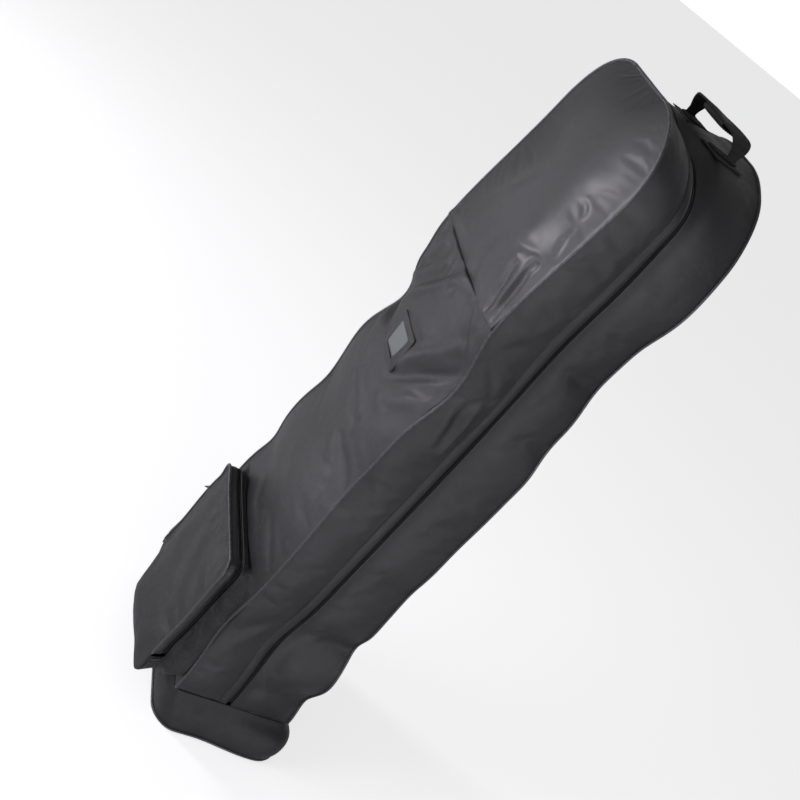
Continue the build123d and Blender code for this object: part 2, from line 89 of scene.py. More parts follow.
# The pocket stands out from the lid, narrows upwards, and its front leans back
POCKET_FOOT, POCKET_TOP = 0.096, 0.335
POCKET_HALF_LOW, POCKET_HALF_HIGH = HALF - 0.025, HALF - 0.037
POCKET_TAPER = (POCKET_HALF_LOW - POCKET_HALF_HIGH) / (POCKET_TOP - POCKET_FOOT)
POCKET_EDGE_Y, POCKET_EDGE_Z = FRONT - 0.068, POCKET_FOOT + 0.06 * 0.068
POCKET_LEAN = 0.022 / (POCKET_TOP - 0.37 * 0.046 - POCKET_EDGE_Z)
POCKET_R = 0.022
POCKET_ZIP = 0.019
POCKET_GAP = 0.0042

SOFT = []  # pieces that the drape operator lets settle, with how freely each moves


class CaseSizes(bpy.types.PropertyGroup):
    cord: FloatProperty(name="Piping radius", description="Radius of the sewn-in cord", default=PIPING_R, unit="LENGTH")
    wall: FloatProperty(name="Fabric wall", description="Thickness of the fabric", default=0.0022, unit="LENGTH")
    cell: FloatProperty(name="Mesh step", description="Spacing of the fabric's mesh", default=0.0065, unit="LENGTH")
    crown: FloatProperty(name="Front crown", description="How far the front swells", default=0.016, unit="LENGTH")
    head_crown: FloatProperty(name="Head crown", description="How far the head swells", default=0.015, unit="LENGTH")
    side_puff: FloatProperty(name="Side puff", description="How far the sides swell", default=0.006, unit="LENGTH")
    stitch: FloatProperty(name="Stitch pitch", description="From one stitch to the next", default=0.0052, unit="LENGTH")
    thread: FloatProperty(name="Thread radius", description="Radius of the thread", default=0.00035, unit="LENGTH")
    tooth: FloatProperty(name="Tooth pitch", description="From one tooth to the next", default=0.0021, unit="LENGTH")
    weave: FloatProperty(name="Weave pitch", description="From thread to thread", default=0.0009, unit="LENGTH")


def colour_property(name, description, default):
    return FloatVectorProperty(name=name, description=description, default=default, subtype="COLOR", min=0, max=1)


class CaseColours(bpy.types.PropertyGroup):
    shell: colour_property("Shell", "Satin polyester of the front, back and sides", (0.0138, 0.0132, 0.0152))
    head: colour_property("Head", "Satin polyester of the head panel", (0.0115, 0.011, 0.0128))
    base: colour_property("Boot", "Coated fabric of the boot", (0.0105, 0.0103, 0.012))
    # The piping's colour, twice the shell's, is partly a lighter fabric and partly painted highlight along the cord.
    # The card's trim and the fold seam's cord take it too.
    piping: colour_property("Piping", "Fabric over the cord", (0.028, 0.027, 0.030))
    webbing: colour_property("Webbing", "Handle and tie straps", (0.0042, 0.0042, 0.0048))
    tape: colour_property("Zip tape", "Woven zip tape", (0.01, 0.01, 0.011))
    metal: colour_property("Slider", "Black enamelled sliders", (0.03, 0.03, 0.033))
    foam: colour_property("Foam", "Head foam", (0.045, 0.045, 0.05))
    card: colour_property("Card", "Blank name card", (0.11, 0.12, 0.125))
    floor: colour_property("Floor", "Studio floor", (0.92, 0.92, 0.93))


def sizes():
    return bpy.context.scene.case_sizes


def colours():
    return bpy.context.scene.case_colours


# Shape of the settled case


def hump(v, centre, spread):
    return np.exp(-0.5 * ((v - centre) / spread) ** 2)


def ramp(v, low, high):
    t = np.clip((v - low) / (high - low), 0, 1)
    return t * t * (3 - 2 * t)


def settle(points):
    """Moves points from the made shape to the shape of the empty case: it leans back at the head, is pinched at
    the waist and is drawn in behind the head. The zip's left run stays straight for its sliders."""
    p = np.array(points, float)
    x, y, z = p[..., 0], p[..., 1], p[..., 2]
    s = np.clip(x / HALF, -1.1, 1.1)
    right = np.clip((1 + s) / 2, 0, 1)
    front = np.clip((ZIP_Y - y) / (ZIP_Y - FRONT), 0, 1.05)
    rear = np.clip((y - ZIP_Y) / (BACK - ZIP_Y), 0, 1.05)
    middle = 1 - np.clip(front + rear, 0, 1)
    held = ramp(z, BOOT_TOP, BOOT_TOP + 0.07)
    waist = (0.025 - 0.004 * s) * hump(z, 0.765 + 0.022 * s, 0.045 + 0.005 * s) * np.abs(s) ** 2
    front_y = 0.028 * ramp(z, 0.87, 1.17) + waist + 0.005 * hump(z, 0.585, 0.05) - 0.006 * hump(z, 0.24, 0.05)
    front_y = front_y + (1 - right) * (0.009 * hump(z, 0.38, 0.03) + 0.004 * hump(z, 0.54, 0.03) + 0.004 * hump(z, 0.825, 0.02))
    front_x = -s * (0.010 * hump(z, 0.565, 0.045) + 0.006 * hump(z, 0.24, 0.05))
    front_x = front_x + (1 - right) * 0.009 * ramp(z, 0.34, 0.42) * (1 - 0.9 * hump(z, 0.785, 0.03))
    front_z = 0.013 * ramp(z, 1.0, TOP)
    zip_y = right * (0.008 * ramp(z, 0.9, 1.05) + 0.004 * hump(z, 0.7, 0.18) - 0.005 * hump(z, 0.235, 0.05))
    zip_x = -right * 0.009 * hump(z, 0.235, 0.05)
    zip_z = -0.020 * ramp(x, -0.05, 0.06) * ramp(z, 1.13, TOP)
    rear_y = -0.012 * hump(z, 0.885, 0.045) - 0.007 * hump(z, 0.965, 0.035) - 0.004 * hump(z, 0.77, 0.035)
    drawn = 0.014 * hump(z, 0.885, 0.05) + 0.007 * hump(z, 0.43, 0.032) + 0.012 * hump(z, 0.285, 0.02)
    drawn = drawn + 0.008 * hump(z, 0.965, 0.035) + 0.006 * hump(z, 0.76, 0.03) - 0.014 * hump(z, 0.205, 0.03)
    drawn = drawn + 0.004 * hump(z, 0.80, 0.03) - 0.0025 * hump(z, 0.72, 0.025) + 0.003 * hump(z, 0.54, 0.04) + 0.013 * hump(z, 0.122, 0.03) + 0.003 * hump(z, 0.37, 0.03)
    rear_x = -s * (drawn + 0.012 * hump(z, 1.17, 0.05))
    rear_z = 0.009 * ramp(z, 1.15, TOP) * (1 - ramp(np.abs(x), 0.03, 0.1)) * ramp(y, 0.06, BACK)
    p[..., 0] += held * (front * front_x + middle * zip_x + rear * rear_x)
    p[..., 1] += held * (front * front_y + middle * zip_y + rear * rear_y)
    p[..., 2] += front * front_z + middle * zip_z * (1 - ramp(y, 0.0, 0.02)) + rear_z
    return p


def crease(u, v, start, end, width, height):
    """A soft fold of a height and width along a line on a panel."""
    du, dv = end[0] - start[0], end[1] - start[1]
    t = np.clip(((u - start[0]) * du + (v - start[1]) * dv) / (du * du + dv * dv), 0, 1)
    far = np.hypot(u - start[0] - t * du, v - start[1] - t * dv)
    return height * np.exp(-((far / width) ** 2)) * (0.35 + 0.65 * np.sin(np.pi * np.clip(t, 0.12, 0.88)))


def ripple(points, scale, seed):
    """Slow uneven waves from -1 to 1."""
    flat = np.asarray(points).reshape(-1, 3)
    offset = Vector((seed * 3.1, seed * 1.7, seed * 2.3))
    values = [noise.noise(Vector(q) * scale + offset) for q in flat]
    return np.array(values).reshape(np.asarray(points).shape[:-1])


def outline(bottom, step, grow=0.0):
    """Points and outward normals of the shell seen from the front, from the left foot over the head."""
    r, half, top = HEAD_R + grow, HALF + grow, TOP + grow
    rise, flat = top - r - bottom, 2 * (half - r)
    spots, normals = [], []

    def run(start, end, normal, count):
        for i in range(count):
            spots.append(np.array(start) + (np.array(end) - np.array(start)) * i / count)
            normals.append(normal)

    def bend(cx, cz, low, high, count):
        for i in range(count):
            a = low + (high - low) * i / count
            spots.append((cx + r * math.cos(a), cz + r * math.sin(a)))
            normals.append((math.cos(a), math.sin(a)))

    up, round_, over = max(2, round(rise / step)), max(3, round(r * math.pi / 2 / step)), max(2, round(flat / step))
    run((-half, bottom), (-half, top - r), (-1, 0), up)
    bend(-half + r, top - r, math.pi, math.pi / 2, round_)
    run((-half + r, top), (half - r, top), (0, 1), over)
    bend(half - r, top - r, math.pi / 2, 0, round_)
    run((half, top - r), (half, bottom), (1, 0), up)
    spots.append((half, bottom))
    normals.append((1, 0))
    return np.array(spots, float), np.array(normals, float)


def half_at(z, grow=0.0):
    """Half the shell's width at a height."""
    into = np.clip((z - (TOP - HEAD_R)) / HEAD_R, 0, 1)
    return HALF + grow - HEAD_R * (1 - np.sqrt(1 - into * into))


def heights(low, high, step):
    """Heights from low to high, closer together round the head's corners."""
    knee = TOP - HEAD_R
    if high <= knee:
        return np.linspace(low, high, max(2, round((high - low) / step)) + 1)
    below = np.linspace(low, knee, max(2, round((knee - low) / step)) + 1)[:-1]
    angles = np.linspace(0, math.pi / 2, round(HEAD_R * math.pi / 2 / step) + 1)
    return np.concatenate([below, knee + HEAD_R * np.sin(angles)])


def front_height(x, z, head):
    """How far the front stands out of its seams at a place, towards the viewer of the front."""
    s = np.clip(np.abs(x) / half_at(z), 0, 1)
    if head:
        top = 1 - (1 - np.clip((TOP - z) / 0.11, 0, 1)) ** 2.2
        low = 0.55 + 0.45 * ramp(z, SEAM_Z, SEAM_Z + 0.12)
        out = sizes().head_crown * (1 - s ** (2.4 + 1.0 * (x > 0))) * top * low
        out += crease(x, z, (0.10, 0.93), (0.085, 1.09), 0.030, 0.0040)
        out += crease(x, z, (0.141, 0.900), (0.131, 0.985), 0.006, -0.0050)
        out += crease(x, z, (0.133, 0.900), (0.120, 0.990), 0.005, 0.0032)
        out += crease(x, z, (0.122, 0.900), (0.106, 0.962), 0.006, -0.0042)
        out += crease(x, z, (0.112, 0.905), (0.096, 0.975), 0.006, 0.0022)
        out += crease(x, z, (0.143, 1.00), (0.130, 1.045), 0.006, -0.0030)
        out += crease(x, z, (0.128, 1.055), (0.105, 1.085), 0.007, -0.0020)
        out += crease(x, z, (-0.10, 0.93), (-0.02, 1.06), 0.016, -0.0016)
        out += crease(x, z, (0.02, 0.90), (0.075, 1.0), 0.016, 0.0016)
        out += crease(x, z, (-0.135, 0.91), (-0.115, 0.99), 0.01, -0.002)
        return out * np.clip((1 - s) / 0.12, 0, 1) ** 0.5
    crown = 0.005 + (sizes().crown - 0.005) * ramp(z, 0.30, 0.43) * (1 - 0.5 * hump(z, 0.745, 0.07))
    out = crown * (1 - s**2.3)
    folds = crease(x, z, (-0.030, 0.655), (0.060, 0.633), 0.007, 0.0042)
    folds += crease(x, z, (-0.035, 0.641), (0.055, 0.618), 0.008, -0.003)
    folds += crease(x, z, (0.044, 0.699), (0.140, 0.800), 0.010, -0.0055)
    folds += crease(x, z, (0.030, 0.722), (0.130, 0.835), 0.011, 0.0045)
    folds += crease(x, z, (0.070, 0.678), (0.150, 0.745), 0.014, 0.0040)
    folds += crease(x, z, (-0.090, 0.758), (0.035, 0.880), 0.009, 0.0050)
    folds += crease(x, z, (-0.105, 0.772), (0.010, 0.885), 0.012, -0.0045)
    folds += crease(x, z, (-0.150, 0.742), (-0.060, 0.712), 0.010, -0.0045)
    folds += crease(x, z, (-0.150, 0.722), (-0.070, 0.682), 0.010, 0.0030)
    folds += crease(x, z, (-0.150, 0.775), (-0.075, 0.818), 0.010, 0.0035)
    folds += crease(x, z, (-0.120, 0.812), (-0.060, 0.872), 0.011, -0.0060)
    folds += crease(x, z, (0.150, 0.812), (0.095, 0.872), 0.008, -0.0045)
    folds += crease(x, z, (0.120, 0.830), (0.085, 0.880), 0.006, 0.0030)
    folds += crease(x, z, (0.090, 0.600), (0.150, 0.540), 0.016, -0.0030)
    folds += crease(x, z, (-0.150, 0.560), (-0.070, 0.520), 0.018, -0.0030)
    folds += crease(x, z, (-0.08, 0.46), (0.06, 0.40), 0.03, -0.0030)
    gather = np.sin(2 * np.pi * (x / 0.031 + 0.6 * np.sin(x * 37))) * hump(z, 0.867, 0.012) * 0.0016
    return (out + (1.45 * folds + gather) * np.clip((1 - s) / 0.06, 0, 1)) * ramp(z, FOOT - 0.002, FOOT + 0.035)


def front_point(x, z, head, proud=0.0):
    """A point on the settled front, a little proud of the fabric if asked."""
    x, z = np.asarray(x, float), np.asarray(z, float)
    out = settle(np.stack([x, np.full_like(x, FRONT), z], -1))
    out[..., 1] -= front_height(x, z, head) + proud
    return out


def side_point(spots, normals, y, on_lid, proud=0.0):
    """A point on the settled side band at a depth, a little proud of the fabric if asked."""
    x, z = spots[..., 0], spots[..., 1]
    low, high = (FRONT, LID_EDGE) if on_lid else (BODY_EDGE, BACK)
    t = np.clip((y - low) / (high - low), 0, 1)
    by_zip = (high - y) if on_lid else (y - low)
    puff = sizes().side_puff * np.sin(np.pi * t) * ramp(by_zip, 0.006, 0.035)
    puff = puff * (1 - 0.85 * ramp(z, TOP - HEAD_R * 0.6, TOP)) * ramp(z, BOOT_TOP, BOOT_TOP + 0.05)
    if on_lid:
        right = x > 0
        fold = crease(y, z, (-0.044, 0.690), (-0.060, 0.782), 0.006, 0.0048)
        fold += crease(y, z, (-0.058, 0.700), (-0.079, 0.782), 0.006, -0.0040)
        fold += crease(y, z, (-0.074, 0.705), (-0.094, 0.770), 0.006, 0.0040)
        fold += crease(y, z, (-0.050, 0.800), (-0.090, 0.850), 0.009, -0.0035)
        fold += crease(y, z, (-0.045, 0.300), (-0.085, 0.240), 0.012, -0.0030)
        left = crease(y, z, (-0.050, 0.720), (-0.095, 0.760), 0.010, -0.0040)
        left += crease(y, z, (-0.050, 0.560), (-0.095, 0.590), 0.012, -0.0030)
        puff = puff + np.where(right, fold, left)
    else:
        fold = crease(y, z, (0.030, 0.890), (0.085, 0.880), 0.016, -0.0040)
        fold += crease(y, z, (0.020, 0.660), (0.060, 0.630), 0.008, -0.0030)
        fold += crease(y, z, (0.030, 0.450), (0.085, 0.425), 0.014, -0.0035)
        fold += crease(y, z, (0.035, 0.300), (0.085, 0.275), 0.012, -0.0035)
        puff = puff + fold * ramp(by_zip, 0.01, 0.03)
    out = np.stack([x + normals[..., 0] * (puff + proud), np.broadcast_to(y, x.shape), z + normals[..., 1] * (puff + proud)], -1)
    return settle(out)


# Meshes


def link(obj):
    bpy.context.scene.collection.objects.link(obj)
    return obj


def grid(name, points, inside, loop=False):
    """A sheet of quads through rows of points, facing away from the inside, with a UV map in metres."""
    points = np.asarray(points, float)
    rows, cols = points.shape[:2]
    faces = []
    for i in range(rows - 1):
        for j in range(cols if loop else cols - 1):
            k = (j + 1) % cols
            faces.append((i * cols + j, i * cols + k, (i + 1) * cols + k, (i + 1) * cols + j))
    flat = points.reshape(-1, 3)
    quads = flat[np.array(faces)]
    normal = np.cross(quads[:, 2] - quads[:, 0], quads[:, 3] - quads[:, 1])
    centre = quads.mean(1)
    away = centre - (inside(centre) if callable(inside) else np.array(inside))
    if np.sum(normal * away) < 0:
        faces = [f[::-1] for f in faces]
    mesh = bpy.data.meshes.new(name)
    mesh.from_pydata(flat.tolist(), [], faces)
    across = np.zeros((rows, cols))
    across[:, 1:] = np.cumsum(np.linalg.norm(np.diff(points, axis=1), axis=2), axis=1)
    across -= across[:, [cols // 2]]
    along = np.zeros((rows, cols))
    along[1:] = np.cumsum(np.linalg.norm(np.diff(points, axis=0), axis=2), axis=0)
    along = np.broadcast_to(along.mean(1, keepdims=True), along.shape)
    layer = mesh.uv_layers.new(name="UVMap")
    for loop_item in mesh.loops:
        v = loop_item.vertex_index
        layer.data[loop_item.index].uv = (across.flat[v], along.flat[v])
    mesh.polygons.foreach_set("use_smooth", [True] * len(mesh.polygons))
    return link(bpy.data.objects.new(name, mesh))


def in_shell(centres):
    """The middle line of the case beside each point."""
    out = np.zeros_like(centres)
    out[:, 2] = np.clip(centres[:, 2], 0.12, TOP - 0.1)
    out[:, 1] = -0.005
    return out


def tube(name, path, radius, sides=10, closed=False):
    """A round cord along a line of points."""
    path = np.asarray(path, float)
    count = len(path)
    tangents = np.roll(path, -1, 0) - np.roll(path, 1, 0) if closed else np.gradient(path, axis=0)
    tangents /= np.linalg.norm(tangents, axis=1, keepdims=True)
    side = np.cross(tangents[0], (0.13, 0.97, 0.21))
    rings = []
    for i in range(count):
        side = side - tangents[i] * np.dot(side, tangents[i])
        side /= np.linalg.norm(side)
        other = np.cross(tangents[i], side)
        angles = np.linspace(0, 2 * math.pi, sides, endpoint=False)
        rings.append(path[i] + radius * (np.outer(np.cos(angles), side) + np.outer(np.sin(angles), other)))
    run = np.zeros(count)
    run[1:] = np.cumsum(np.linalg.norm(np.diff(path, axis=0), axis=1))
    verts = np.concatenate(rings).tolist()
    faces, uvs = [], []
    for i in range(count if closed else count - 1):
        n = (i + 1) % count
        far = run[n] if n else run[-1] + np.linalg.norm(path[0] - path[-1])
        for j in range(sides):
            k = (j + 1) % sides
            faces.append((i * sides + j, n * sides + j, n * sides + k, i * sides + k))
            low, high = j * radius * 6.283 / sides, (j + 1) * radius * 6.283 / sides
            uvs += [(low, run[i]), (low, far), (high, far), (high, run[i])]
    if not closed:
        faces += [tuple(range(sides)), tuple(range((count - 1) * sides, count * sides))[::-1]]
        uvs += [(0, 0)] * (2 * sides)
    mesh = bpy.data.meshes.new(name)
    mesh.from_pydata(verts, [], faces)
    layer = mesh.uv_layers.new(name="UVMap")
    for i, uv in enumerate(uvs):
        layer.data[i].uv = uv
    recalculate(mesh)
    mesh.polygons.foreach_set("use_smooth", [True] * len(mesh.polygons))
    return link(bpy.data.objects.new(name, mesh))


def recalculate(mesh):
    work = bmesh.new()
    work.from_mesh(mesh)
    bmesh.ops.recalc_face_normals(work, faces=work.faces)
    work.to_mesh(mesh)
    work.free()


def join(name, objects):
    """One piece out of several meshes."""
    work = bmesh.new()
    for obj in objects:
        work.from_mesh(obj.data)
    mesh = bpy.data.meshes.new(name)
    work.to_mesh(mesh)
    work.free()
    for obj in objects:
        bpy.data.objects.remove(obj)
    return link(bpy.data.objects.new(name, mesh))


def dress(obj, body, material, replaced=(), wall=None, smooth=0):
    """Gives a piece its smoothing, wall, material and body, and hides the parts it replaces."""
    if smooth:
        rounder = obj.modifiers.new("Smooth", "SUBSURF")
        rounder.levels = rounder.render_levels = smooth
    if wall:
        thick = obj.modifiers.new("Wall", "SOLIDIFY")
        thick.thickness, thick.offset, thick.use_rim = wall, -1, True
    obj.data.materials.clear()
    obj.data.materials.append(material)
    if body:
        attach(obj, body)
    if replaced:
        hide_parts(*replaced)
    return obj


def soften(obj, pins, growth, pressure, cap):
    """Marks a sheet to be draped: its pinned points stay, and the rest may move up to a cap."""
    group = obj.vertex_groups.new(name="seams")
    for index, weight in enumerate(np.asarray(pins, float).ravel()):
        if weight > 0:
            group.add([index], float(weight), "REPLACE")
    SOFT.append((obj, growth, pressure, cap))


def edge_pins(shape, rows=(1, 1), cols=(2, 2)):
    """Full hold on a sheet's border, as many rows and columns deep as asked."""
    held = np.zeros(shape)
    for depth in range(max(rows[0], rows[1], cols[0], cols[1])):
        weight = 1.0
        if depth < rows[0]:
            held[depth, :] = np.maximum(held[depth, :], weight)
        if depth < rows[1]:
            held[-1 - depth, :] = np.maximum(held[-1 - depth, :], weight)
        if depth < cols[0]:
            held[:, depth] = np.maximum(held[:, depth], weight)
        if depth < cols[1]:
            held[:, -1 - depth] = np.maximum(held[:, -1 - depth], weight)
    return held


# Geometry Nodes trees


def node_tree(name, inputs):
    tree = bpy.data.node_groups.new(name, "GeometryNodeTree")
    tree.interface.new_socket("Geometry", in_out="OUTPUT", socket_type="NodeSocketGeometry")
    tree.interface.new_socket("Geometry", in_out="INPUT", socket_type="NodeSocketGeometry")
    for label, kind, value in inputs:
        socket = tree.interface.new_socket(label, in_out="INPUT", socket_type=kind)
        if value is not None:
            socket.default_value = value
    return tree, tree.nodes.new("NodeGroupInput"), tree.nodes.new("NodeGroupOutput")


def row_tree():
    """Small rounded shapes spaced along a line, each turned along the line and away from the surface."""
    if "spaced_row" in bpy.data.node_groups:
        return bpy.data.node_groups["spaced_row"]
    tree, given, result = node_tree(
        "spaced_row",
        [
            ("Pitch", "NodeSocketFloat", 0.005),
            ("Along", "NodeSocketFloat", 0.0017),
            ("Across", "NodeSocketFloat", 0.0004),
            ("Height", "NodeSocketFloat", 0.0003),
            ("Material", "NodeSocketMaterial", None),
        ],
    )
    new, wire = tree.nodes.new, tree.links.new
    curve, spaced = new("GeometryNodeMeshToCurve"), new("GeometryNodeResampleCurve")
    spaced.mode = "LENGTH"
    bead = new("GeometryNodeMeshUVSphere")
    bead.inputs["Segments"].default_value, bead.inputs["Rings"].default_value = 6, 4
    bead.inputs["Radius"].default_value = 1.0
    placed, real, painted = new("GeometryNodeInstanceOnPoints"), new("GeometryNodeRealizeInstances"), new("GeometryNodeSetMaterial")
    facing = new("GeometryNodeInputNamedAttribute")
    facing.data_type = "FLOAT_VECTOR"
    facing.inputs["Name"].default_value = "facing"
    tangent, stand, turn = new("GeometryNodeInputTangent"), new("FunctionNodeAlignRotationToVector"), new("FunctionNodeAlignRotationToVector")
    stand.axis, turn.axis, turn.pivot_axis = "Z", "X", "Z"
    size = new("ShaderNodeCombineXYZ")
    wire(given.outputs["Geometry"], curve.inputs["Mesh"])
    wire(curve.outputs["Curve"], spaced.inputs["Curve"])
    wire(given.outputs["Pitch"], spaced.inputs["Length"])
    wire(spaced.outputs["Curve"], placed.inputs["Points"])
    wire(bead.outputs["Mesh"], placed.inputs["Instance"])
    wire(facing.outputs["Attribute"], stand.inputs["Vector"])
    wire(stand.outputs["Rotation"], turn.inputs["Rotation"])
    wire(tangent.outputs["Tangent"], turn.inputs["Vector"])
    wire(turn.outputs["Rotation"], placed.inputs["Rotation"])
    for axis, label in (("X", "Along"), ("Y", "Across"), ("Z", "Height")):
        wire(given.outputs[label], size.inputs[axis])
    wire(size.outputs["Vector"], placed.inputs["Scale"])
    wire(placed.outputs["Instances"], real.inputs["Geometry"])
    wire(real.outputs["Geometry"], painted.inputs["Geometry"])
    wire(given.outputs["Material"], painted.inputs["Material"])
    wire(painted.outputs["Geometry"], result.inputs["Geometry"])
    return tree


def row(name, lines, material, pitch, along, across, height):
    """Stitches, teeth or knots along lines of (points, facing)."""
    mesh = bpy.data.meshes.new(name + "_lines")
    verts, edges, facing = [], [], []
    for points, normals in lines:
        start = len(verts)
        verts += [tuple(q) for q in points]
        facing += [tuple(q) for q in np.broadcast_to(normals, np.shape(points))]
        edges += [(start + i, start + i + 1) for i in range(len(points) - 1)]
    mesh.from_pydata(verts, edges, [])
    attribute = mesh.attributes.new("facing", "FLOAT_VECTOR", "POINT")
    attribute.data.foreach_set("vector", np.array(facing, np.float32).ravel())
    guide = link(bpy.data.objects.new(name + "_lines", mesh))
    tree = row_tree()
    modifier = guide.modifiers.new("Row", "NODES")
    modifier.node_group = tree
    names = {i.name: i.identifier for i in tree.interface.items_tree if i.in_out == "INPUT"}
    for label, value in (("Pitch", pitch), ("Along", along), ("Across", across), ("Height", height)):
        modifier[names[label]] = value
    modifier[names["Material"]] = material
    bpy.context.view_layer.update()
    seen = guide.evaluated_get(bpy.context.evaluated_depsgraph_get())
    made = bpy.data.meshes.new_from_object(seen)
    bpy.data.objects.remove(guide)
    made.name = name
    made.polygons.foreach_set("use_smooth", [True] * len(made.polygons))
    return link(bpy.data.objects.new(name, made))


def ride_row(obj, body, replaced=()):
    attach(obj, body)
    if replaced:
        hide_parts(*replaced)
    return obj


# Shader groups and materials


def shader_group(name, inputs, outputs):
    tree = bpy.data.node_groups.new(name, "ShaderNodeTree")
    for label, kind, value in inputs:
        socket = tree.interface.new_socket(label, in_out="INPUT", socket_type=kind)
        if value is not None:
            socket.default_value = value
    for label in outputs:
        tree.interface.new_socket(label, in_out="OUTPUT", socket_type="NodeSocketFloat")
    return tree, tree.nodes.new("NodeGroupInput"), tree.nodes.new("NodeGroupOutput")


def shader_math(tree, kind, first, second=None):
    node = tree.nodes.new("ShaderNodeMath")
    node.operation = kind
    for index, value in enumerate((first, second)):
        if value is None:
            continue
        if isinstance(value, (int, float)):
            node.inputs[index].default_value = value
        else:
            tree.links.new(value, node.inputs[index])
    return node.outputs[0]


def weave_group():
    """Plain weave: threads that go over and under each other in both directions."""
    if "plain_weave" in bpy.data.node_groups:
        return bpy.data.node_groups["plain_weave"]
    tree, given, result = shader_group(
        "plain_weave",
        [("Vector", "NodeSocketVector", None), ("Pitch", "NodeSocketFloat", 0.001), ("Ribs", "NodeSocketFloat", 0.0)],
        ["Height", "Thread"],
    )
    parts = tree.nodes.new("ShaderNodeSeparateXYZ")
    tree.links.new(given.outputs["Vector"], parts.inputs[0])
    waves = []
    for axis in "XY":
        turns = shader_math(tree, "DIVIDE", parts.outputs[axis], given.outputs["Pitch"])
        waves.append(shader_math(tree, "SINE", shader_math(tree, "MULTIPLY", turns, 2 * math.pi)))
    cross = shader_math(tree, "MULTIPLY", waves[0], waves[1])
    ribbed = shader_math(tree, "MULTIPLY", waves[1], given.outputs["Ribs"])
    height = shader_math(tree, "ADD", cross, ribbed)
    tree.links.new(height, result.inputs["Height"])
    tree.links.new(shader_math(tree, "MULTIPLY_ADD", cross, 0.5), result.inputs["Thread"])
    return tree


def crush_group():
    """Slow changes of tone and the fine crush marks of light fabric."""
    if "crushed_cloth" in bpy.data.node_groups:
        return bpy.data.node_groups["crushed_cloth"]
    tree, given, result = shader_group(
        "crushed_cloth",
        [("Vector", "NodeSocketVector", None), ("Scale", "NodeSocketFloat", 18.0), ("Patch", "NodeSocketFloat", 5.0)],
        ["Height", "Tone", "Rub"],
    )
    fine, slow, rub = (tree.nodes.new("ShaderNodeTexNoise") for _ in range(3))
    for node, label, detail, rough in ((fine, "Scale", 4.0, 0.55), (slow, "Patch", 2.0, 0.5)):
        tree.links.new(given.outputs["Vector"], node.inputs["Vector"])
        tree.links.new(given.outputs[label], node.inputs["Scale"])
        node.inputs["Detail"].default_value = detail
        node.inputs["Roughness"].default_value = rough
    fine.inputs["Distortion"].default_value = 0.35
    tree.links.new(given.outputs["Vector"], rub.inputs["Vector"])
    rub.inputs["Scale"].default_value = 160.0
    rub.inputs["Detail"].default_value = 3.0
    tree.links.new(fine.outputs[0], result.inputs["Height"])
    tree.links.new(slow.outputs[0], result.inputs["Tone"])
    tree.links.new(rub.outputs[0], result.inputs["Rub"])
    return tree


def cloth_material(name, colour, rough, uv=True, pitch=0.0009, weave=0.00008, crush=0.0012, ribs=0.0, sheen=0.25, light=1.7, scale=18.0, coat=0.0, metallic=0.0):
    """Woven or moulded stuff: tone and gloss vary slowly, threads and crush marks lift the surface."""
    if name in bpy.data.materials:
        return bpy.data.materials[name]
    material = bpy.data.materials.new(name)
    material.use_nodes = True
    tree = material.node_tree
    new, wire = tree.nodes.new, tree.links.new
    shader = tree.nodes["Principled BSDF"]
    shader.inputs["Sheen Weight"].default_value = sheen * 0.6
    shader.inputs["Sheen Roughness"].default_value = 0.35
    shader.inputs["Coat Weight"].default_value = coat
    shader.inputs["Coat Roughness"].default_value = 0.3
    shader.inputs["Metallic"].default_value = metallic
    shader.inputs["Specular IOR Level"].default_value = 0.5
    place = new("ShaderNodeTexCoord")
    across = place.outputs["UV"] if uv else place.outputs["Object"]
    weaver, crusher = new("ShaderNodeGroup"), new("ShaderNodeGroup")
    weaver.node_tree, crusher.node_tree = weave_group(), crush_group()
    wire(across, weaver.inputs["Vector"])
    weaver.inputs["Pitch"].default_value = pitch
    weaver.inputs["Ribs"].default_value = ribs
    wire(place.outputs["Object"], crusher.inputs["Vector"])
    crusher.inputs["Scale"].default_value = scale
    tone = new("ShaderNodeMix")
    tone.data_type = "RGBA"
    tone.inputs["A"].default_value = (*[c * 0.75 for c in colour], 1)
    tone.inputs["B"].default_value = (*[min(1, c * light) for c in colour], 1)
    share = new("ShaderNodeMapRange")
    share.inputs["From Min"].default_value, share.inputs["From Max"].default_value = 0.3, 0.75
    wire(crusher.outputs["Tone"], share.inputs["Value"])
    wire(share.outputs["Result"], tone.inputs["Factor"])
    wire(tone.outputs["Result"], shader.inputs["Base Color"])
    gloss = new("ShaderNodeMapRange")
    gloss.inputs["From Min"].default_value, gloss.inputs["From Max"].default_value = 0.25, 0.75
    gloss.inputs["To Min"].default_value, gloss.inputs["To Max"].default_value = rough - 0.05, rough + 0.08
    wire(crusher.outputs["Rub"], gloss.inputs["Value"])
    wire(gloss.outputs["Result"], shader.inputs["Roughness"])
    crushed, woven = new("ShaderNodeBump"), new("ShaderNodeBump")
    crushed.inputs["Strength"].default_value, crushed.inputs["Distance"].default_value = 1.0, crush
    woven.inputs["Strength"].default_value, woven.inputs["Distance"].default_value = 1.0, weave
    wire(crusher.outputs["Height"], crushed.inputs["Height"])
    wire(weaver.outputs["Height"], woven.inputs["Height"])
    wire(crushed.outputs["Normal"], woven.inputs["Normal"])
    wire(woven.outputs["Normal"], shader.inputs["Normal"])
    return material


def shell_cloth():
    return cloth_material("shell_satin", colours().shell, 0.37, pitch=sizes().weave, weave=0.00007, crush=0.0020, coat=0.1)


def head_cloth():
    return cloth_material("head_satin", colours().head, 0.34, pitch=sizes().weave, weave=0.00006, crush=0.0010, scale=12.0, coat=0.26)


def boot_cloth():
    return cloth_material("boot_coated", colours().base, 0.5, pitch=0.0012, crush=0.002, scale=26.0)


# The cord's lighter colour holds painted highlight as well as its own lighter fabric.
def piping_cloth_with_highlight():
    return cloth_material("piping_cover", colours().piping, 0.26, pitch=0.0011, crush=0.0003, scale=60.0, sheen=0.4, coat=0.6)


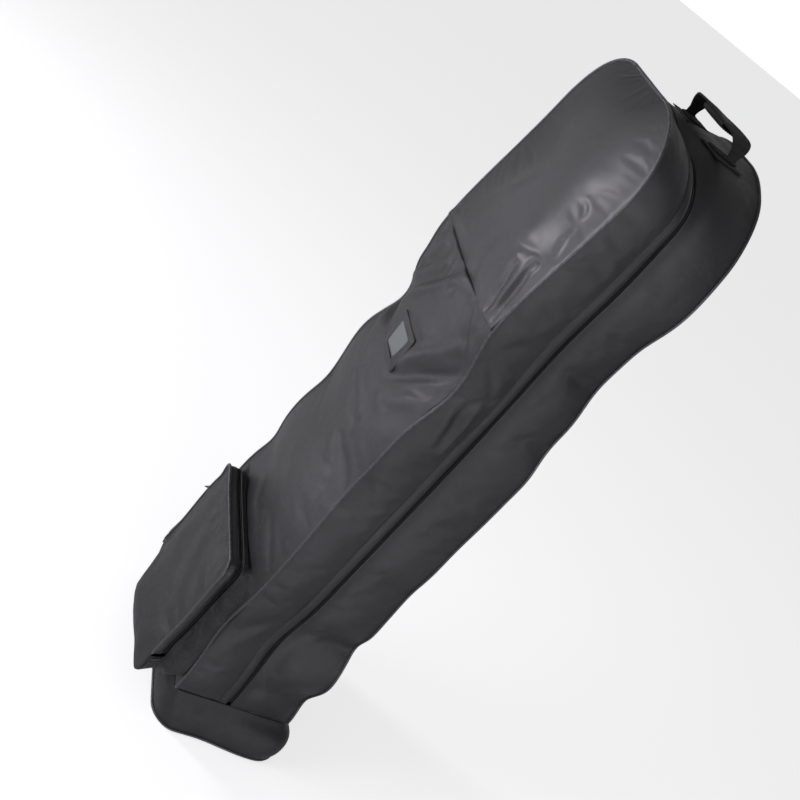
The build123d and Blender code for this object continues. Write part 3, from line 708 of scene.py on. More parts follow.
def strap_cloth():
    return cloth_material("strap_webbing", colours().webbing, 0.62, sheen=0.1, pitch=0.0022, weave=0.0003, crush=0.0004, ribs=0.9, scale=30.0)


def tape_cloth():
    return cloth_material("zip_tape_twill", colours().tape, 0.7, pitch=0.0008, crush=0.0002, ribs=0.5)


def tooth_plastic():
    return cloth_material("zip_tooth_nylon", (0.012, 0.012, 0.013), 0.35, uv=False, weave=0.0, crush=0.0, sheen=0.0)


def thread_cloth():
    return cloth_material("sewing_thread", (0.03, 0.03, 0.033), 0.55, uv=False, pitch=0.0006, crush=0.0, sheen=0.3)


# Pieces


class CASE_OT_front(bpy.types.Operator):
    """Front panel below the head seam: crowned, pinched at the waist and folded round the card window"""

    bl_idname = "golf_case.front"
    bl_label = "Front panel"

    def execute(self, context):
        step = sizes().cell
        zs = heights(FOOT, SEAM_Z + 0.004, step)
        share = np.linspace(-1, 1, 2 * round(HALF / step) + 1)
        z = np.repeat(zs[:, None], len(share), 1)
        x = share[None, :] * half_at(z)
        points = front_point(x, z, False)
        loose = ripple(points, 14, 1) * 0.0016 + ripple(points, 34, 2) * 0.0007
        edge = np.clip((1 - np.abs(share)) / 0.1, 0, 1)[None, :]
        card = 1 - np.exp(-((x / 0.06) ** 4) - ((z - card_centre().z) / 0.05) ** 4)
        points[..., 1] -= loose * edge * card
        panel = grid("front_fabric", points, in_shell)
        pins = edge_pins(z.shape)
        pins[card < 0.4] = 1
        soften(panel, pins, 0.004, 1.2, 0.007)
        dress(panel, "lid", shell_cloth(), ["front_panel"])
        return {"FINISHED"}


class CASE_OT_head(bpy.types.Operator):
    """Padded head panel, whose turned edge laps over the front panel"""

    bl_idname = "golf_case.head"
    bl_label = "Head panel"

    def execute(self, context):
        step = sizes().cell * 0.62
        zs = heights(SEAM_Z - 0.002, TOP, step)
        share = np.linspace(-1, 1, 2 * round(HALF / step) + 1)
        z = np.repeat(zs[:, None], len(share), 1)
        x = share[None, :] * half_at(z)
        points = front_point(x, z, True)
        points[..., 1] -= 0.0038 * hump(z, SEAM_Z, 0.012)
        points[..., 1] -= ripple(points, 9, 4) * 0.0012 * np.clip((1 - np.abs(share)) / 0.15, 0, 1)[None, :]
        lip = points[:1].copy()
        lip[..., 1] += 0.0044
        points = np.concatenate([lip, points])
        panel = grid("head_cushion", points, in_shell)
        soften(panel, edge_pins(points.shape[:2], rows=(3, 1)), 0.002, 2.0, 0.006)
        dress(panel, "lid", head_cloth(), ["head_panel", "head_panel_hem"])
        return {"FINISHED"}


class CASE_OT_back(bpy.types.Operator):
    """Back panel, which lies a little rounded between its seams"""

    bl_idname = "golf_case.back"
    bl_label = "Back panel"

    def execute(self, context):
        step = sizes().cell
        zs = heights(BODY_FOOT, TOP, step)
        share = np.linspace(-1, 1, 2 * round(HALF / step) + 1)
        z = np.repeat(zs[:, None], len(share), 1)
        x = share[None, :] * half_at(z)
        points = np.stack([x, np.full_like(x, BACK), z], -1)
        top = 1 - (1 - np.clip((TOP - z) / 0.1, 0, 1)) ** 2
        swell = 0.007 * (1 - np.abs(share[None, :]) ** 2.5) * top * ramp(z, BODY_FOOT, BODY_FOOT + 0.1)
        edge = np.clip((1 - np.abs(share)) / 0.1, 0, 1)[None, :]
        folds = crease(x, z, (-0.13, 0.90), (-0.03, 0.86), 0.014, -0.004)
        folds += crease(x, z, (0.13, 0.88), (0.04, 0.92), 0.014, -0.004)
        folds += crease(x, z, (-0.12, 0.44), (0.0, 0.40), 0.02, -0.003)
        moved = settle(points)
        moved[..., 1] += swell + (folds + ripple(points, 12, 6) * 0.0018) * edge
        panel = grid("back_fabric", moved, in_shell)
        soften(panel, edge_pins(z.shape), 0.003, 0.8, 0.006)
        dress(panel, "case", shell_cloth(), ["back_panel"])
        return {"FINISHED"}


def side_band(name, on_lid, bottom, low, high, count, seed):
    spots, normals = outline(bottom, sizes().cell)
    ys = np.linspace(low, high, count)
    s = np.repeat(spots[:, None, :], count, 1)
    n = np.repeat(normals[:, None, :], count, 1)
    points = side_point(s, n, ys[None, :] * np.ones((len(spots), 1)), on_lid)
    waves = ripple(points, 16, seed) * 0.0014 + ripple(points, 40, seed + 1) * 0.0005
    inner = np.sin(np.pi * np.linspace(0, 1, count)) ** 1.5
    shift = (waves * inner[None, :])[..., None]
    points[..., 0] += shift[..., 0] * n[..., 0]
    points[..., 2] += shift[..., 0] * n[..., 1]
    return grid(name, points, in_shell), points.shape[:2]


class CASE_OT_sides(bpy.types.Operator):
    """Side bands of the lid and of the body, puffed between their seams"""

    bl_idname = "golf_case.sides"
    bl_label = "Side bands"

    def execute(self, context):
        lid, shape = side_band("lid_band", True, FOOT, FRONT, LID_EDGE, 17, 11)
        soften(lid, edge_pins(shape, cols=(1, 4)), 0.004, 0.8, 0.004)
        dress(lid, "lid", shell_cloth(), ["lid_gusset"])
        body, shape = side_band("body_band", False, BODY_FOOT, BODY_EDGE, BACK, 20, 21)
        soften(body, edge_pins(shape, cols=(4, 1)), 0.004, 0.8, 0.004)
        dress(body, "case", shell_cloth(), ["body_gusset"])
        spots, normals = outline(FOOT, sizes().cell)
        ys = np.linspace(HEM_LOW_Y, HEM_HIGH_Y, 5)
        lift = np.array([0.0002, 0.0011, 0.0014, 0.0015, 0.0013])
        over = 0.0022 * ramp(spots[:, 0], -0.1, 0.02)
        rows = [side_point(spots, normals, y + over * (i == 4), True, up) for i, (y, up) in enumerate(zip(ys, lift))]
        hem = grid("zip_flap", np.stack(rows, 1), in_shell)
        dress(hem, "lid", shell_cloth(), ["zip_hem"], wall=0.0009)
        return {"FINISHED"}


def seam_path(y, bottom, grow, step=0.004):
    """A seam round the shell at a depth, outside the fabric by a distance."""
    spots, normals = outline(bottom, step)
    points = np.stack([spots[:, 0], np.full(len(spots), y), spots[:, 1]], -1)
    moved = settle(points)
    moved[:, 0] += normals[:, 0] * grow
    moved[:, 2] += normals[:, 1] * grow
    return moved, np.stack([normals[:, 0], np.zeros(len(normals)), normals[:, 1]], -1)


class CASE_OT_piping(bpy.types.Operator):
    """Covered cords along the front and rear seams"""

    bl_idname = "golf_case.piping"
    bl_label = "Piping"

    def execute(self, context):
        radius = sizes().cord
        for name, body, y, bottom, node in (
            ("front_cord", "lid", FRONT + 0.0006, FOOT, "front_piping"),
            ("rear_cord", "case", BACK - 0.0006, BODY_FOOT, "rear_piping"),
        ):
            path, _ = seam_path(y, bottom + radius, 0.0009)
            dress(tube(name, path, radius), body, piping_cloth_with_highlight(), [node])
        return {"FINISHED"}


class CASE_OT_zip(bpy.types.Operator):
    """Main zip: a tape and a row of coil teeth on each side, which follow the side bands"""

    bl_idname = "golf_case.zip"
    bl_label = "Main zip"

    def execute(self, context):
        pitch = sizes().tooth
        for side, body in ((1, "case"), (-1, "lid")):
            word = "body" if side > 0 else "lid"
            spots, normals = outline(ZIP_FOOT, 0.006, -WALL - 0.0002)
            ys = ZIP_Y + side * np.array([0.00008, 0.006, 0.012, 0.018])
            rows = [settle(np.stack([spots[:, 0], np.full(len(spots), y), spots[:, 1]], -1)) for y in ys]
            tape = grid(f"{word}_tape", np.stack(rows, 1), in_shell)
            dress(tape, body, tape_cloth(), [f"{word}_zip_tape"], wall=0.0009)
            spots, normals = outline(ZIP_FOOT, 0.004, -0.0018)
            y = ZIP_Y + side * 0.0019
            line = settle(np.stack([spots[:, 0], np.full(len(spots), y), spots[:, 1]], -1))
            face = np.stack([normals[:, 0], np.zeros(len(normals)), normals[:, 1]], -1)
            teeth = row(f"{word}_teeth", [(line, face)], tooth_plastic(), pitch, 0.00085, 0.0017, 0.0011)
            ride_row(teeth, body, [f"{word}_zip_coil"])
        return {"FINISHED"}


class CASE_OT_stitches(bpy.types.Operator):
    """Rows of stitches beside the zip, along the hem and along the head seam"""

    bl_idname = "golf_case.stitches"
    bl_label = "Stitches"

    def execute(self, context):
        size = sizes()
        look = (thread_cloth(), size.stitch, size.stitch * 0.36, size.thread, size.thread * 0.8)
        lid_lines, body_lines = [], []
        spots, normals = outline(FOOT + 0.004, 0.004)
        face = np.stack([normals[:, 0], np.zeros(len(normals)), normals[:, 1]], -1)
        for y, lift in ((LID_EDGE - 0.0022, 0.0001), (HEM_HIGH_Y - 0.002, 0.0015), (HEM_LOW_Y + 0.0025, 0.0012)):
            lid_lines.append((side_point(spots, normals, np.full(len(spots), y), True, lift), face))
        for y in (BODY_EDGE + 0.0022, BODY_EDGE + 0.0075):
            body_lines.append((side_point(spots, normals, np.full(len(spots), y), False, 0.0001), face))
        x = np.linspace(-HALF + 0.006, HALF - 0.006, 80)
        for up in (0.0035, 0.0085):
            z = np.full_like(x, SEAM_Z + up)
            points = front_point(x, z, True)
            points[:, 1] -= 0.0038 * hump(z, SEAM_Z, 0.012) + 0.0001
            lid_lines.append((points, (0.0, -1.0, 0.0)))
        ride_row(row("lid_stitches", lid_lines, *look), "lid")
        ride_row(row("body_stitches", body_lines, *look), "case")
        return {"FINISHED"}


def card_centre():
    low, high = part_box("card_frame")
    return (low + high) / 2


def on_front(x, z, proud):
    return front_point(np.asarray(x, float), np.asarray(z, float), False, proud)


class CASE_OT_card(bpy.types.Operator):
    """Name card window: a turned fabric frame, a clear sheet and a blank card"""

    bl_idname = "golf_case.card"
    bl_label = "Card window"

    def execute(self, context):
        low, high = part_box("card_frame")
        clear_low, clear_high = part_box("card_window")
        middle = card_centre()
        base_y = float(on_front(middle.x, middle.z, 0)[1])
        half_w, half_h = (high.x - low.x) / 2, (high.z - low.z) / 2
        view_w, view_h = (clear_high.x - clear_low.x) / 2 - 0.002, (clear_high.z - clear_low.z) / 2 - 0.002

        def ring(w, h, r, count=12):
            loop = []
            for cx, cz, start in ((w - r, h - r, 0), (-w + r, h - r, 90), (-w + r, -h + r, 180), (w - r, -h + r, 270)):
                for i in range(count):
                    a = math.radians(start + 90 * i / (count - 1))
                    loop.append((cx + r * math.cos(a), cz + r * math.sin(a)))
            return np.array(loop)

        profile = (
            (0.0, 0.0005, 0.006), (0.0004, 0.0016, 0.006), (0.0015, 0.0024, 0.005), (0.003, 0.0026, 0.004),
            (0.006, 0.0022, 0.004), (0.0105, 0.0021, 0.003), (0.0135, 0.0026, 0.003), (0.0155, 0.0026, 0.003),
            (0.016, 0.002, 0.003), (0.016, 0.0013, 0.003),
        )
        span_w, span_h = half_w - view_w, half_h - view_h
        rows = []
        for inset, lift, radius in profile:
            part = inset / 0.016
            loop = ring(half_w - span_w * part, half_h - span_h * part, radius)
            spot = on_front(loop[:, 0] + middle.x, loop[:, 1] + middle.z, lift)
            spot[:, 1] = np.minimum(spot[:, 1], base_y - lift + 0.0008)
            rows.append(spot)
        holder = grid("card_holder", np.stack(rows), (middle.x, 0, middle.z), loop=True)
        # The trim takes the piping's colour, painted highlight included.
        trim = cloth_material("card_trim", colours().piping, 0.3, pitch=0.0009, crush=0.0004, sheen=0.1, scale=50.0)
        dress(holder, "lid", trim, ["card_frame"], wall=0.0004, smooth=1)
        xs = np.linspace(clear_low.x, clear_high.x, 20)
        zs = np.linspace(clear_low.z, clear_high.z, 14)
        x, z = np.meshgrid(xs, zs)
        bow = 0.0005 * np.sin(np.pi * (x - xs[0]) / (xs[-1] - xs[0])) * np.sin(np.pi * (z - zs[0]) / (zs[-1] - zs[0]))
        pane = np.stack([x + middle.x, base_y - 0.0012 - bow, z], -1)
        clear = grid("card_pane", pane, (0, 0, middle.z))
        glass = cloth_material("clear_vinyl", (0.25, 0.27, 0.27), 0.12, uv=False, weave=0.0, crush=0.0006, sheen=0.0, scale=40.0)
        glass.node_tree.nodes["Principled BSDF"].inputs["Alpha"].default_value = 0.35
        dress(clear, "lid", glass, ["card_window"], wall=0.0003)
        sheet_low, sheet_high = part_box("name_card")
        xs = np.linspace(sheet_low.x, sheet_high.x, 12)
        zs = np.linspace(sheet_low.z, sheet_high.z, 9)
        x, z = np.meshgrid(xs, zs)
        card = grid("blank_card", np.stack([x + middle.x, np.full_like(x, base_y - 0.0004), z], -1), (0, 0, middle.z))
        paper = cloth_material("card_stock", colours().card, 0.6, uv=False, pitch=0.0006, weave=0.00002, crush=0.0001, sheen=0.0, light=1.2)
        dress(card, "name_card", paper, ["name_card"], wall=0.0003)
        return {"FINISHED"}


# Pocket


def pocket_levels(back):
    """The lowest and highest height of the pocket in a plane that lies behind its front by a distance."""
    reach = FRONT - POCKET_EDGE_Y + POCKET_LEAN * POCKET_EDGE_Z - back * math.hypot(1, POCKET_LEAN)
    low = (POCKET_FOOT + 0.06 * reach) / (1 + 0.06 * POCKET_LEAN)
    high = (POCKET_TOP - 0.37 * reach) / (1 - 0.37 * POCKET_LEAN)
    return low, high


def pocket_half(z):
    return POCKET_HALF_LOW - POCKET_TAPER * (z - POCKET_FOOT)


def pocket_plane_y(z, back):
    return POCKET_EDGE_Y + POCKET_LEAN * (z - POCKET_EDGE_Z) + back * math.hypot(1, POCKET_LEAN)


def rounded_run(corners, radius, steps, arc):
    """Points and outward normals round a line of corners, going anticlockwise, closed."""
    corners = [np.array(c, float) for c in corners]
    spots, normals = [], []
    count = len(corners)
    for i in range(count):
        before, here, after = corners[i - 1], corners[i], corners[(i + 1) % count]
        into, out = here - before, after - here
        into_n, out_n = into / np.linalg.norm(into), out / np.linalg.norm(out)
        turn = math.acos(np.clip(np.dot(into_n, out_n), -1, 1))
        cut = radius * math.tan(turn / 2)
        centre = here - into_n * cut + np.array([-into_n[1], into_n[0]]) * radius
        start = math.atan2(-into_n[0], into_n[1])
        for j in range(arc):
            a = start + turn * j / (arc - 1)
            spots.append(centre + radius * np.array([math.cos(a), math.sin(a)]))
            normals.append((math.cos(a), math.sin(a)))
        far = after - out_n * radius * math.tan(turn / 2)
        near = here + out_n * cut
        for j in range(1, steps):
            spots.append(near + (far - near) * j / steps)
            normals.append((out_n[1], -out_n[0]))
    return np.array(spots), np.array(normals)


def slump(points):
    """The empty pocket hangs down and forward at its lower edge, stands up at its top corners and lies flatter on
    its left side, where only the cloth in front of the zip gives way."""
    p = np.array(points, float)
    x, y, z = p[..., 0], p[..., 1], p[..., 2]
    out = np.clip((FRONT - y) / (FRONT - POCKET_EDGE_Y), 0, 1.3)
    low = 1 - ramp(z, POCKET_EDGE_Z - 0.002, POCKET_EDGE_Z + 0.10)
    mid = 1 - np.clip((x - 0.012) / 0.142, -1, 1) ** 2
    left, fore = ramp(-x, 0.04, 0.12), np.clip((pocket_plane_y(z, POCKET_ZIP) - y) / 0.0195, 0, 1.1)
    near = ramp(x, 0.07, 0.125) * (1 - ramp(z, 0.095, 0.155)) * out
    crown = ramp(z, 0.288, 0.325) * out
    p[..., 1] += 0.0115 * left * fore * (1 - ramp(z, 0.29, 0.325))
    p[..., 0] += 0.023 * left * fore * (1 - ramp(z, 0.15, 0.28)) + 0.014 * near
    p[..., 2] += (0.013 + 0.010 * left) * crown - 0.017 * near
    p[..., 2] -= 0.027 * low * mid * out
    p[..., 1] -= 0.007 * low * mid * out
    p[..., 0] += out * (0.030 * (1 - ramp(z, 0.095, 0.138)) * ramp(-x, 0.0, 0.12) + 0.011 * ramp(x, 0.0, 0.12) * (1 - ramp(z, 0.2, 0.3)))
    return p


POCKET_STEPS, POCKET_ARC = 30, 9


def pocket_loop(back, inset=0.0, flare=0.0):
    """The pocket's outline in a plane behind its front, as points in space and outward normals."""
    if back is None:
        low, high, y_of = POCKET_FOOT, POCKET_TOP, lambda z: np.full_like(z, FRONT + 0.001)
    else:
        low, high = pocket_levels(back)
        y_of = lambda z: pocket_plane_y(z, back)
    low, high = low + inset, high - inset
    wide = [pocket_half(low) - inset, pocket_half(high) - inset]
    wide = [w + flare * (HALF - 0.002 - w) for w in wide]
    corners = [(-wide[0], low), (wide[0], low), (wide[1], high), (-wide[1], high)]
    spots, normals = rounded_run(corners, POCKET_R - inset, POCKET_STEPS, POCKET_ARC)
    return np.stack([spots[:, 0], y_of(spots[:, 1]), spots[:, 1]], -1), normals


def zip_part(loop):
    """The part of the pocket's loop over which it opens: both sides and the top."""
    lift = POCKET_EDGE_Z + 0.032
    points, normals = loop
    order = np.argsort(np.arctan2(points[:, 0], -(points[:, 2] - 0.2)) % (2 * math.pi))
    points, normals = points[order], normals[order]
    keep = points[:, 2] > lift
    return points[keep], normals[keep]


def pocket_crush(points, normals, amount, seed):
    """Loose folds of the pocket's walls, mostly on the side away from the slider."""
    right = ramp(points[..., 0], -0.06, 0.05)
    wave = ripple(points * np.array([1, 0.35, 1]), 38, seed) * 0.7 + ripple(points, 80, seed + 1) * 0.3
    out = points.copy()
    move = wave * amount * right
    out[..., 0] += normals[..., 0] * move
    out[..., 2] += normals[..., 1] * move
    return out


def in_pocket(centres):
    out = centres.copy()
    out[:, 0] = np.clip(centres[:, 0], -0.08, 0.08)
    out[:, 2] = np.clip(centres[:, 2], 0.15, 0.27)
    return out


class CASE_OT_pocket(bpy.types.Operator):
    """Shoe pocket: a tapered box with a crowned front, crushed walls, a corded edge and a zip round three sides"""

    bl_idname = "golf_case.pocket"
    bl_label = "Shoe pocket"

    def execute(self, context):
        cloth, size = shell_cloth(), sizes()
        low, high = pocket_levels(0)
        low += 0.0018
        zs = np.concatenate([
            low + POCKET_R * (1 - np.cos(np.linspace(0, math.pi / 2, 7)))[:-1],
            np.linspace(low + POCKET_R, high - POCKET_R, 30),
            high - POCKET_R * (1 - np.sin(np.linspace(0, math.pi / 2, 7)))[1:],
        ])
        share = np.linspace(-1, 1, 45)
        z = np.repeat(zs[:, None], len(share), 1)
        to_edge = np.minimum(z - low, high - z)
        bite = POCKET_R - np.sqrt(np.clip(POCKET_R**2 - (POCKET_R - np.clip(to_edge, 0, POCKET_R)) ** 2, 0, None))
        half = pocket_half(z) - bite
        x = share[None, :] * half
        rise = (z - low) / (high - low)
        dome = (1 - np.abs(share[None, :]) ** 2.4) * 1.25 * np.sqrt(rise + 0.03) * (1 - np.clip(rise, 0, 1)) ** 0.8
        sag = crease(x, z, (-0.02, 0.30), (0.10, 0.17), 0.022, -0.004)
        sag += crease(x, z, (-0.10, 0.25), (-0.03, 0.14), 0.02, -0.0025)
        sag += crease(x, z, (-0.09, 0.125), (0.08, 0.120), 0.014, 0.003)
        inner = np.clip((1 - np.abs(share)) / 0.12, 0, 1)[None, :] * np.clip(to_edge / 0.02, 0, 1)
        points = np.stack([x, pocket_plane_y(z, 0), z], -1)
        points[..., 1] -= 0.013 * dome + (sag + ripple(points, 18, 31) * 0.002) * inner
        points = slump(points)
        front = grid("pocket_front", points, in_pocket)
        soften(front, edge_pins(z.shape, cols=(1, 1)), 0.006, 1.0, 0.006)
        # The pocket's front is the shell's satin at 0.6 of its colour. That darker colour is painted shade, because its
        # front leans back from the light.
        face = cloth_material("pocket_satin_painted_shade", [c * 0.6 for c in colours().shell], 0.36, pitch=size.weave, crush=0.0026, sheen=0.12)
        dress(front, None, face, ["pocket_panel"])

        cuts = [None, 0.040, 0.034, 0.028, POCKET_ZIP + POCKET_GAP]
        flares = [1.0, 0.62, 0.34, 0.12, 0.0]
        loops = [pocket_loop(back, 0, flare) for back, flare in zip(cuts, flares)]
        fine = []
        for (a, na), (b, nb) in zip(loops, loops[1:]):
            for t in np.linspace(0, 1, 4)[:-1]:
                fine.append((a + (b - a) * t, na))
        fine.append(loops[-1])
        points = np.stack([p for p, _ in fine])
        normals = np.stack([n for _, n in fine])
        depth = np.linspace(0, 1, len(points))[:, None]
        crushed = pocket_crush(points, normals, 0.009, 41)
        points = points + (crushed - points) * np.sin(np.pi * depth)[..., None]
        points[..., 2] -= 0.009 * np.sin(np.pi * depth) * ramp(points[..., 2], 0.29, 0.31)
        walls = grid("pocket_walls", slump(points), in_pocket, loop=True)
        # The pocket's walls are the shell's satin, rougher and at 0.62 of its colour. The darker colour is painted
        # shade in the recess under the pocket's edge.
        recess_shade_satin = cloth_material("gusset_satin_painted_shade", [c * 0.62 for c in colours().shell], 0.5, pitch=size.weave, crush=0.007, scale=34.0)
        dress(walls, "lid", recess_shade_satin, ["pocket_gusset"], wall=size.wall, smooth=1)

        rows = []
        for back in np.linspace(0.0035, POCKET_ZIP + POCKET_GAP + 0.001, 6):
            p, _ = pocket_loop(back)
            keep = (p[:, 2] < POCKET_EDGE_Z + 0.0315)
            order = np.argsort(p[keep][:, 0])
            rows.append(p[keep][order])
        least = min(len(r) for r in rows)
        rows = [r[(len(r) - least) // 2:(len(r) - least) // 2 + least] for r in rows]
        floor = grid("pocket_floor", slump(np.stack(rows)), in_pocket)
        dress(floor, "lid", cloth, ["pocket_fold_seam"], wall=size.wall)

        rows = []
        for back in np.linspace(0.0012, POCKET_ZIP - POCKET_GAP, 5):
            p, n = zip_part(pocket_loop(back))
            t = (back - 0.0012) / (POCKET_ZIP - POCKET_GAP - 0.0012)
            puff = 0.0012 * math.sin(math.pi * t) * ramp(p[:, 0], -0.05, 0.05)
            rows.append(np.stack([p[:, 0] + n[:, 0] * puff, p[:, 1], p[:, 2] + n[:, 1] * puff], -1))
        rows = matched(rows)
        rim = grid("pocket_rim", slump(np.stack(rows)), in_pocket)
        dress(rim, "pocket_flap", cloth, ["pocket_flap_gusset"], wall=0.0018)

        path, normal = zip_part(pocket_loop(0.0008))
        path = path + np.stack([normal[:, 0], np.zeros(len(normal)), normal[:, 1]], -1) * 0.0011
        dress(tube("pocket_cord", slump(path), size.cord), "pocket_flap", piping_cloth_with_highlight(), ["pocket_piping"])

        for side, body, word in ((1, "lid", "pocket"), (-1, "pocket_flap", "flap")):
            nodes = ("pocket_zip_tape", "pocket_zip_coil") if side > 0 else ("pocket_flap_tape", "pocket_flap_coil")
            rows = matched([zip_part(pocket_loop(POCKET_ZIP + side * b, 0.0034))[0] for b in (0.0006, 0.005, 0.0115)])
            tape = grid(f"{word}_tape_band", slump(np.stack(rows)), in_pocket)
            dress(tape, body, tape_cloth(), [nodes[0]], wall=0.0009)
            p, n = zip_part(pocket_loop(POCKET_ZIP + side * 0.0019, 0.0018))
            face = np.stack([n[:, 0], np.zeros(len(n)), n[:, 1]], -1)
            teeth = row(f"{word}_teeth_row", [(slump(p), face)], tooth_plastic(), size.tooth, 0.00085, 0.0017, 0.0011)
            ride_row(teeth, body, [nodes[1]])
        return {"FINISHED"}


def matched(rows):
    """The same number of points in every row, evenly spaced along each."""
    count = max(len(r) for r in rows)
    out = []
    for r in rows:
        run = np.concatenate([[0], np.cumsum(np.linalg.norm(np.diff(r, axis=0), axis=1))])
        where = np.linspace(0, run[-1], count)
        out.append(np.stack([np.interp(where, run, r[:, k]) for k in range(3)], -1))
    return out


def boot_outline(t):
    """The boot from above at a share of its height: it slumps out towards the right of the back."""
    w, yf, yb = (a + (b - a) * t for a, b in ((BASE_HALF, HALF), (-BASE_DEPTH, FRONT), (BASE_DEPTH, BACK)))
    spots, normals = rounded_run([(-w, yf), (w, yf), (w, yb), (-w, yb)], BASE_R + (0.012 - BASE_R) * t, 34, 12)
    x, y = spots[:, 0], spots[:, 1]
    free = (1 - t) ** 0.6
    low = np.stack([
        x + free * 0.011 * ramp(y, -0.04, 0.07) * ramp(x, 0.0, 0.12),
        y + free * (0.007 * ramp(-y, 0.05, 0.11) + 0.006 * ramp(y, 0.03, 0.1) * ramp(x, 0.0, 0.14)),
    ], -1)
    return low, normals


class CASE_OT_boot(bpy.types.Operator):
    """Boot: the coated fabric round the base, which sags between its two seams"""

    bl_idname = "golf_case.boot"
    bl_label = "Boot"

    def execute(self, context):
        rows = []
        count = 15
        floor_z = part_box("base_panel")[1].z + 0.0002
        for i in range(count):
            t = i / (count - 1)
            spots, normals = boot_outline(t)
            z = floor_z + (BOOT_TOP - floor_z) * t
            puff = 0.006 * math.sin(math.pi * t) + 0.009 * math.sin(math.pi * t) ** 0.7 * ramp(spots[:, 0], 0.06, 0.15) * ramp(spots[:, 1], -0.03, 0.08)
            p = np.stack([spots[:, 0], spots[:, 1], np.full(len(spots), z)], -1)
            wave = (ripple(p * np.array([1, 1, 0.6]), 20, 51) * 0.0045 + ripple(p, 45, 52) * 0.0018) * math.sin(math.pi * t)
            full = (puff + wave) * (1 - 0.75 * ramp(t, 0.72, 0.92))
            p[:, 0] += normals[:, 0] * full
            p[:, 1] += normals[:, 1] * full
            rows.append(p)
        boot = grid("boot_wall", np.stack(rows), (0, 0, 0.04), loop=True)
        dress(boot, "case", boot_cloth(), ["base_boot"], wall=sizes().wall, smooth=1)
        spots, normals = boot_outline(0)
        edge = np.stack([spots[:, 0] + normals[:, 0] * 0.0012, spots[:, 1] + normals[:, 1] * 0.0012, np.full(len(spots), floor_z + 0.0005)], -1)
        dress(tube("base_cord", edge, sizes().cord, closed=True), "case", piping_cloth_with_highlight(), ["base_piping"])
        rings = [np.stack([spots[:, 0] * k, spots[:, 1] * k, np.full(len(spots), floor_z - 0.0002 - 0.0006 * (k < 0.9))], -1) for k in np.linspace(1, 0.02, 14)]
        sheet = grid("base_sheet", np.stack(rings), (0, 0, -1), loop=True)
        dress(sheet, "case", boot_cloth(), ["base_panel"], wall=sizes().wall)
        spots, normals = rounded_run([(-HALF, FRONT), (HALF, FRONT), (HALF, BACK), (-HALF, BACK)], 0.012, 60, 8)
        closed = np.concatenate([spots, spots[:1]])
        face = np.concatenate([normals, normals[:1]])
        line = np.stack([closed[:, 0] + face[:, 0] * 0.0006, closed[:, 1] + face[:, 1] * 0.0006, np.full(len(closed), BOOT_TOP - 0.004)], -1)
        size = sizes()
        up = np.stack([face[:, 0], face[:, 1], np.zeros(len(face))], -1)
        stitches = row("boot_stitches", [(line, up)], thread_cloth(), size.stitch, size.stitch * 0.36, size.thread, size.thread)
        ride_row(stitches, "case")
        return {"FINISHED"}


class CASE_OT_foam(bpy.types.Operator):
    """Foam sheets inside the head and the upper strap with its anchors, which follow the settled shell"""

    bl_idname = "golf_case.foam"
    bl_label = "Head foam"

    def execute(self, context):
        stuff = cloth_material("head_foam", colours().foam, 0.9, uv=False, pitch=0.002, weave=0.0001, crush=0.0008, sheen=0.0, scale=220.0)
        strap = cloth_material("anchor_webbing", colours().webbing, 0.6, uv=False, pitch=0.0022, weave=0.0002, crush=0.0003)
        layers = (
            ("head_foam_front", "lid", "foam", stuff),
            ("head_foam_back", "case", "foam", stuff),
            ("head_foam_top", "case", "foam", stuff),
            ("tie_anchors_upper", "case", "webbing", strap),
            ("tie_webbing_upper", "case", "webbing", strap),
        )
        for node, body, slot, finish in layers:
            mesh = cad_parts[node].data.copy()
            mesh.materials.clear()
            mesh.name = node + "_sheet"
            work = bmesh.new()
            work.from_mesh(mesh)
            bmesh.ops.remove_doubles(work, verts=work.verts, dist=1e-5)
            for axis, low, high in zip(range(3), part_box(node)[0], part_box(node)[1]):
                normal = Vector([float(k == axis) for k in range(3)])
                cuts = max(1, round((high - low) / 0.012))
                for i in range(1, cuts):
                    spot = normal * (low + (high - low) * i / cuts)
                    bmesh.ops.bisect_plane(work, geom=work.verts[:] + work.edges[:] + work.faces[:], plane_co=spot, plane_no=normal)
            bmesh.ops.recalc_face_normals(work, faces=work.faces)
            co = np.array([v.co for v in work.verts])
            moved = settle(co)
            if node == "head_foam_front":
                moved[:, 1] -= front_height(co[:, 0], co[:, 2], True) - 0.0026
            if node == "tie_webbing_upper":
                moved[:, 1] = co[:, 1]
            for vert, place in zip(work.verts, moved):
                vert.co = place
            work.to_mesh(mesh)
            work.free()
            mesh.polygons.foreach_set("use_smooth", [False] * len(mesh.polygons))
            sheet = link(bpy.data.objects.new(node + "_sheet", mesh))
            dress(sheet, body, finish, [node])
        return {"FINISHED"}


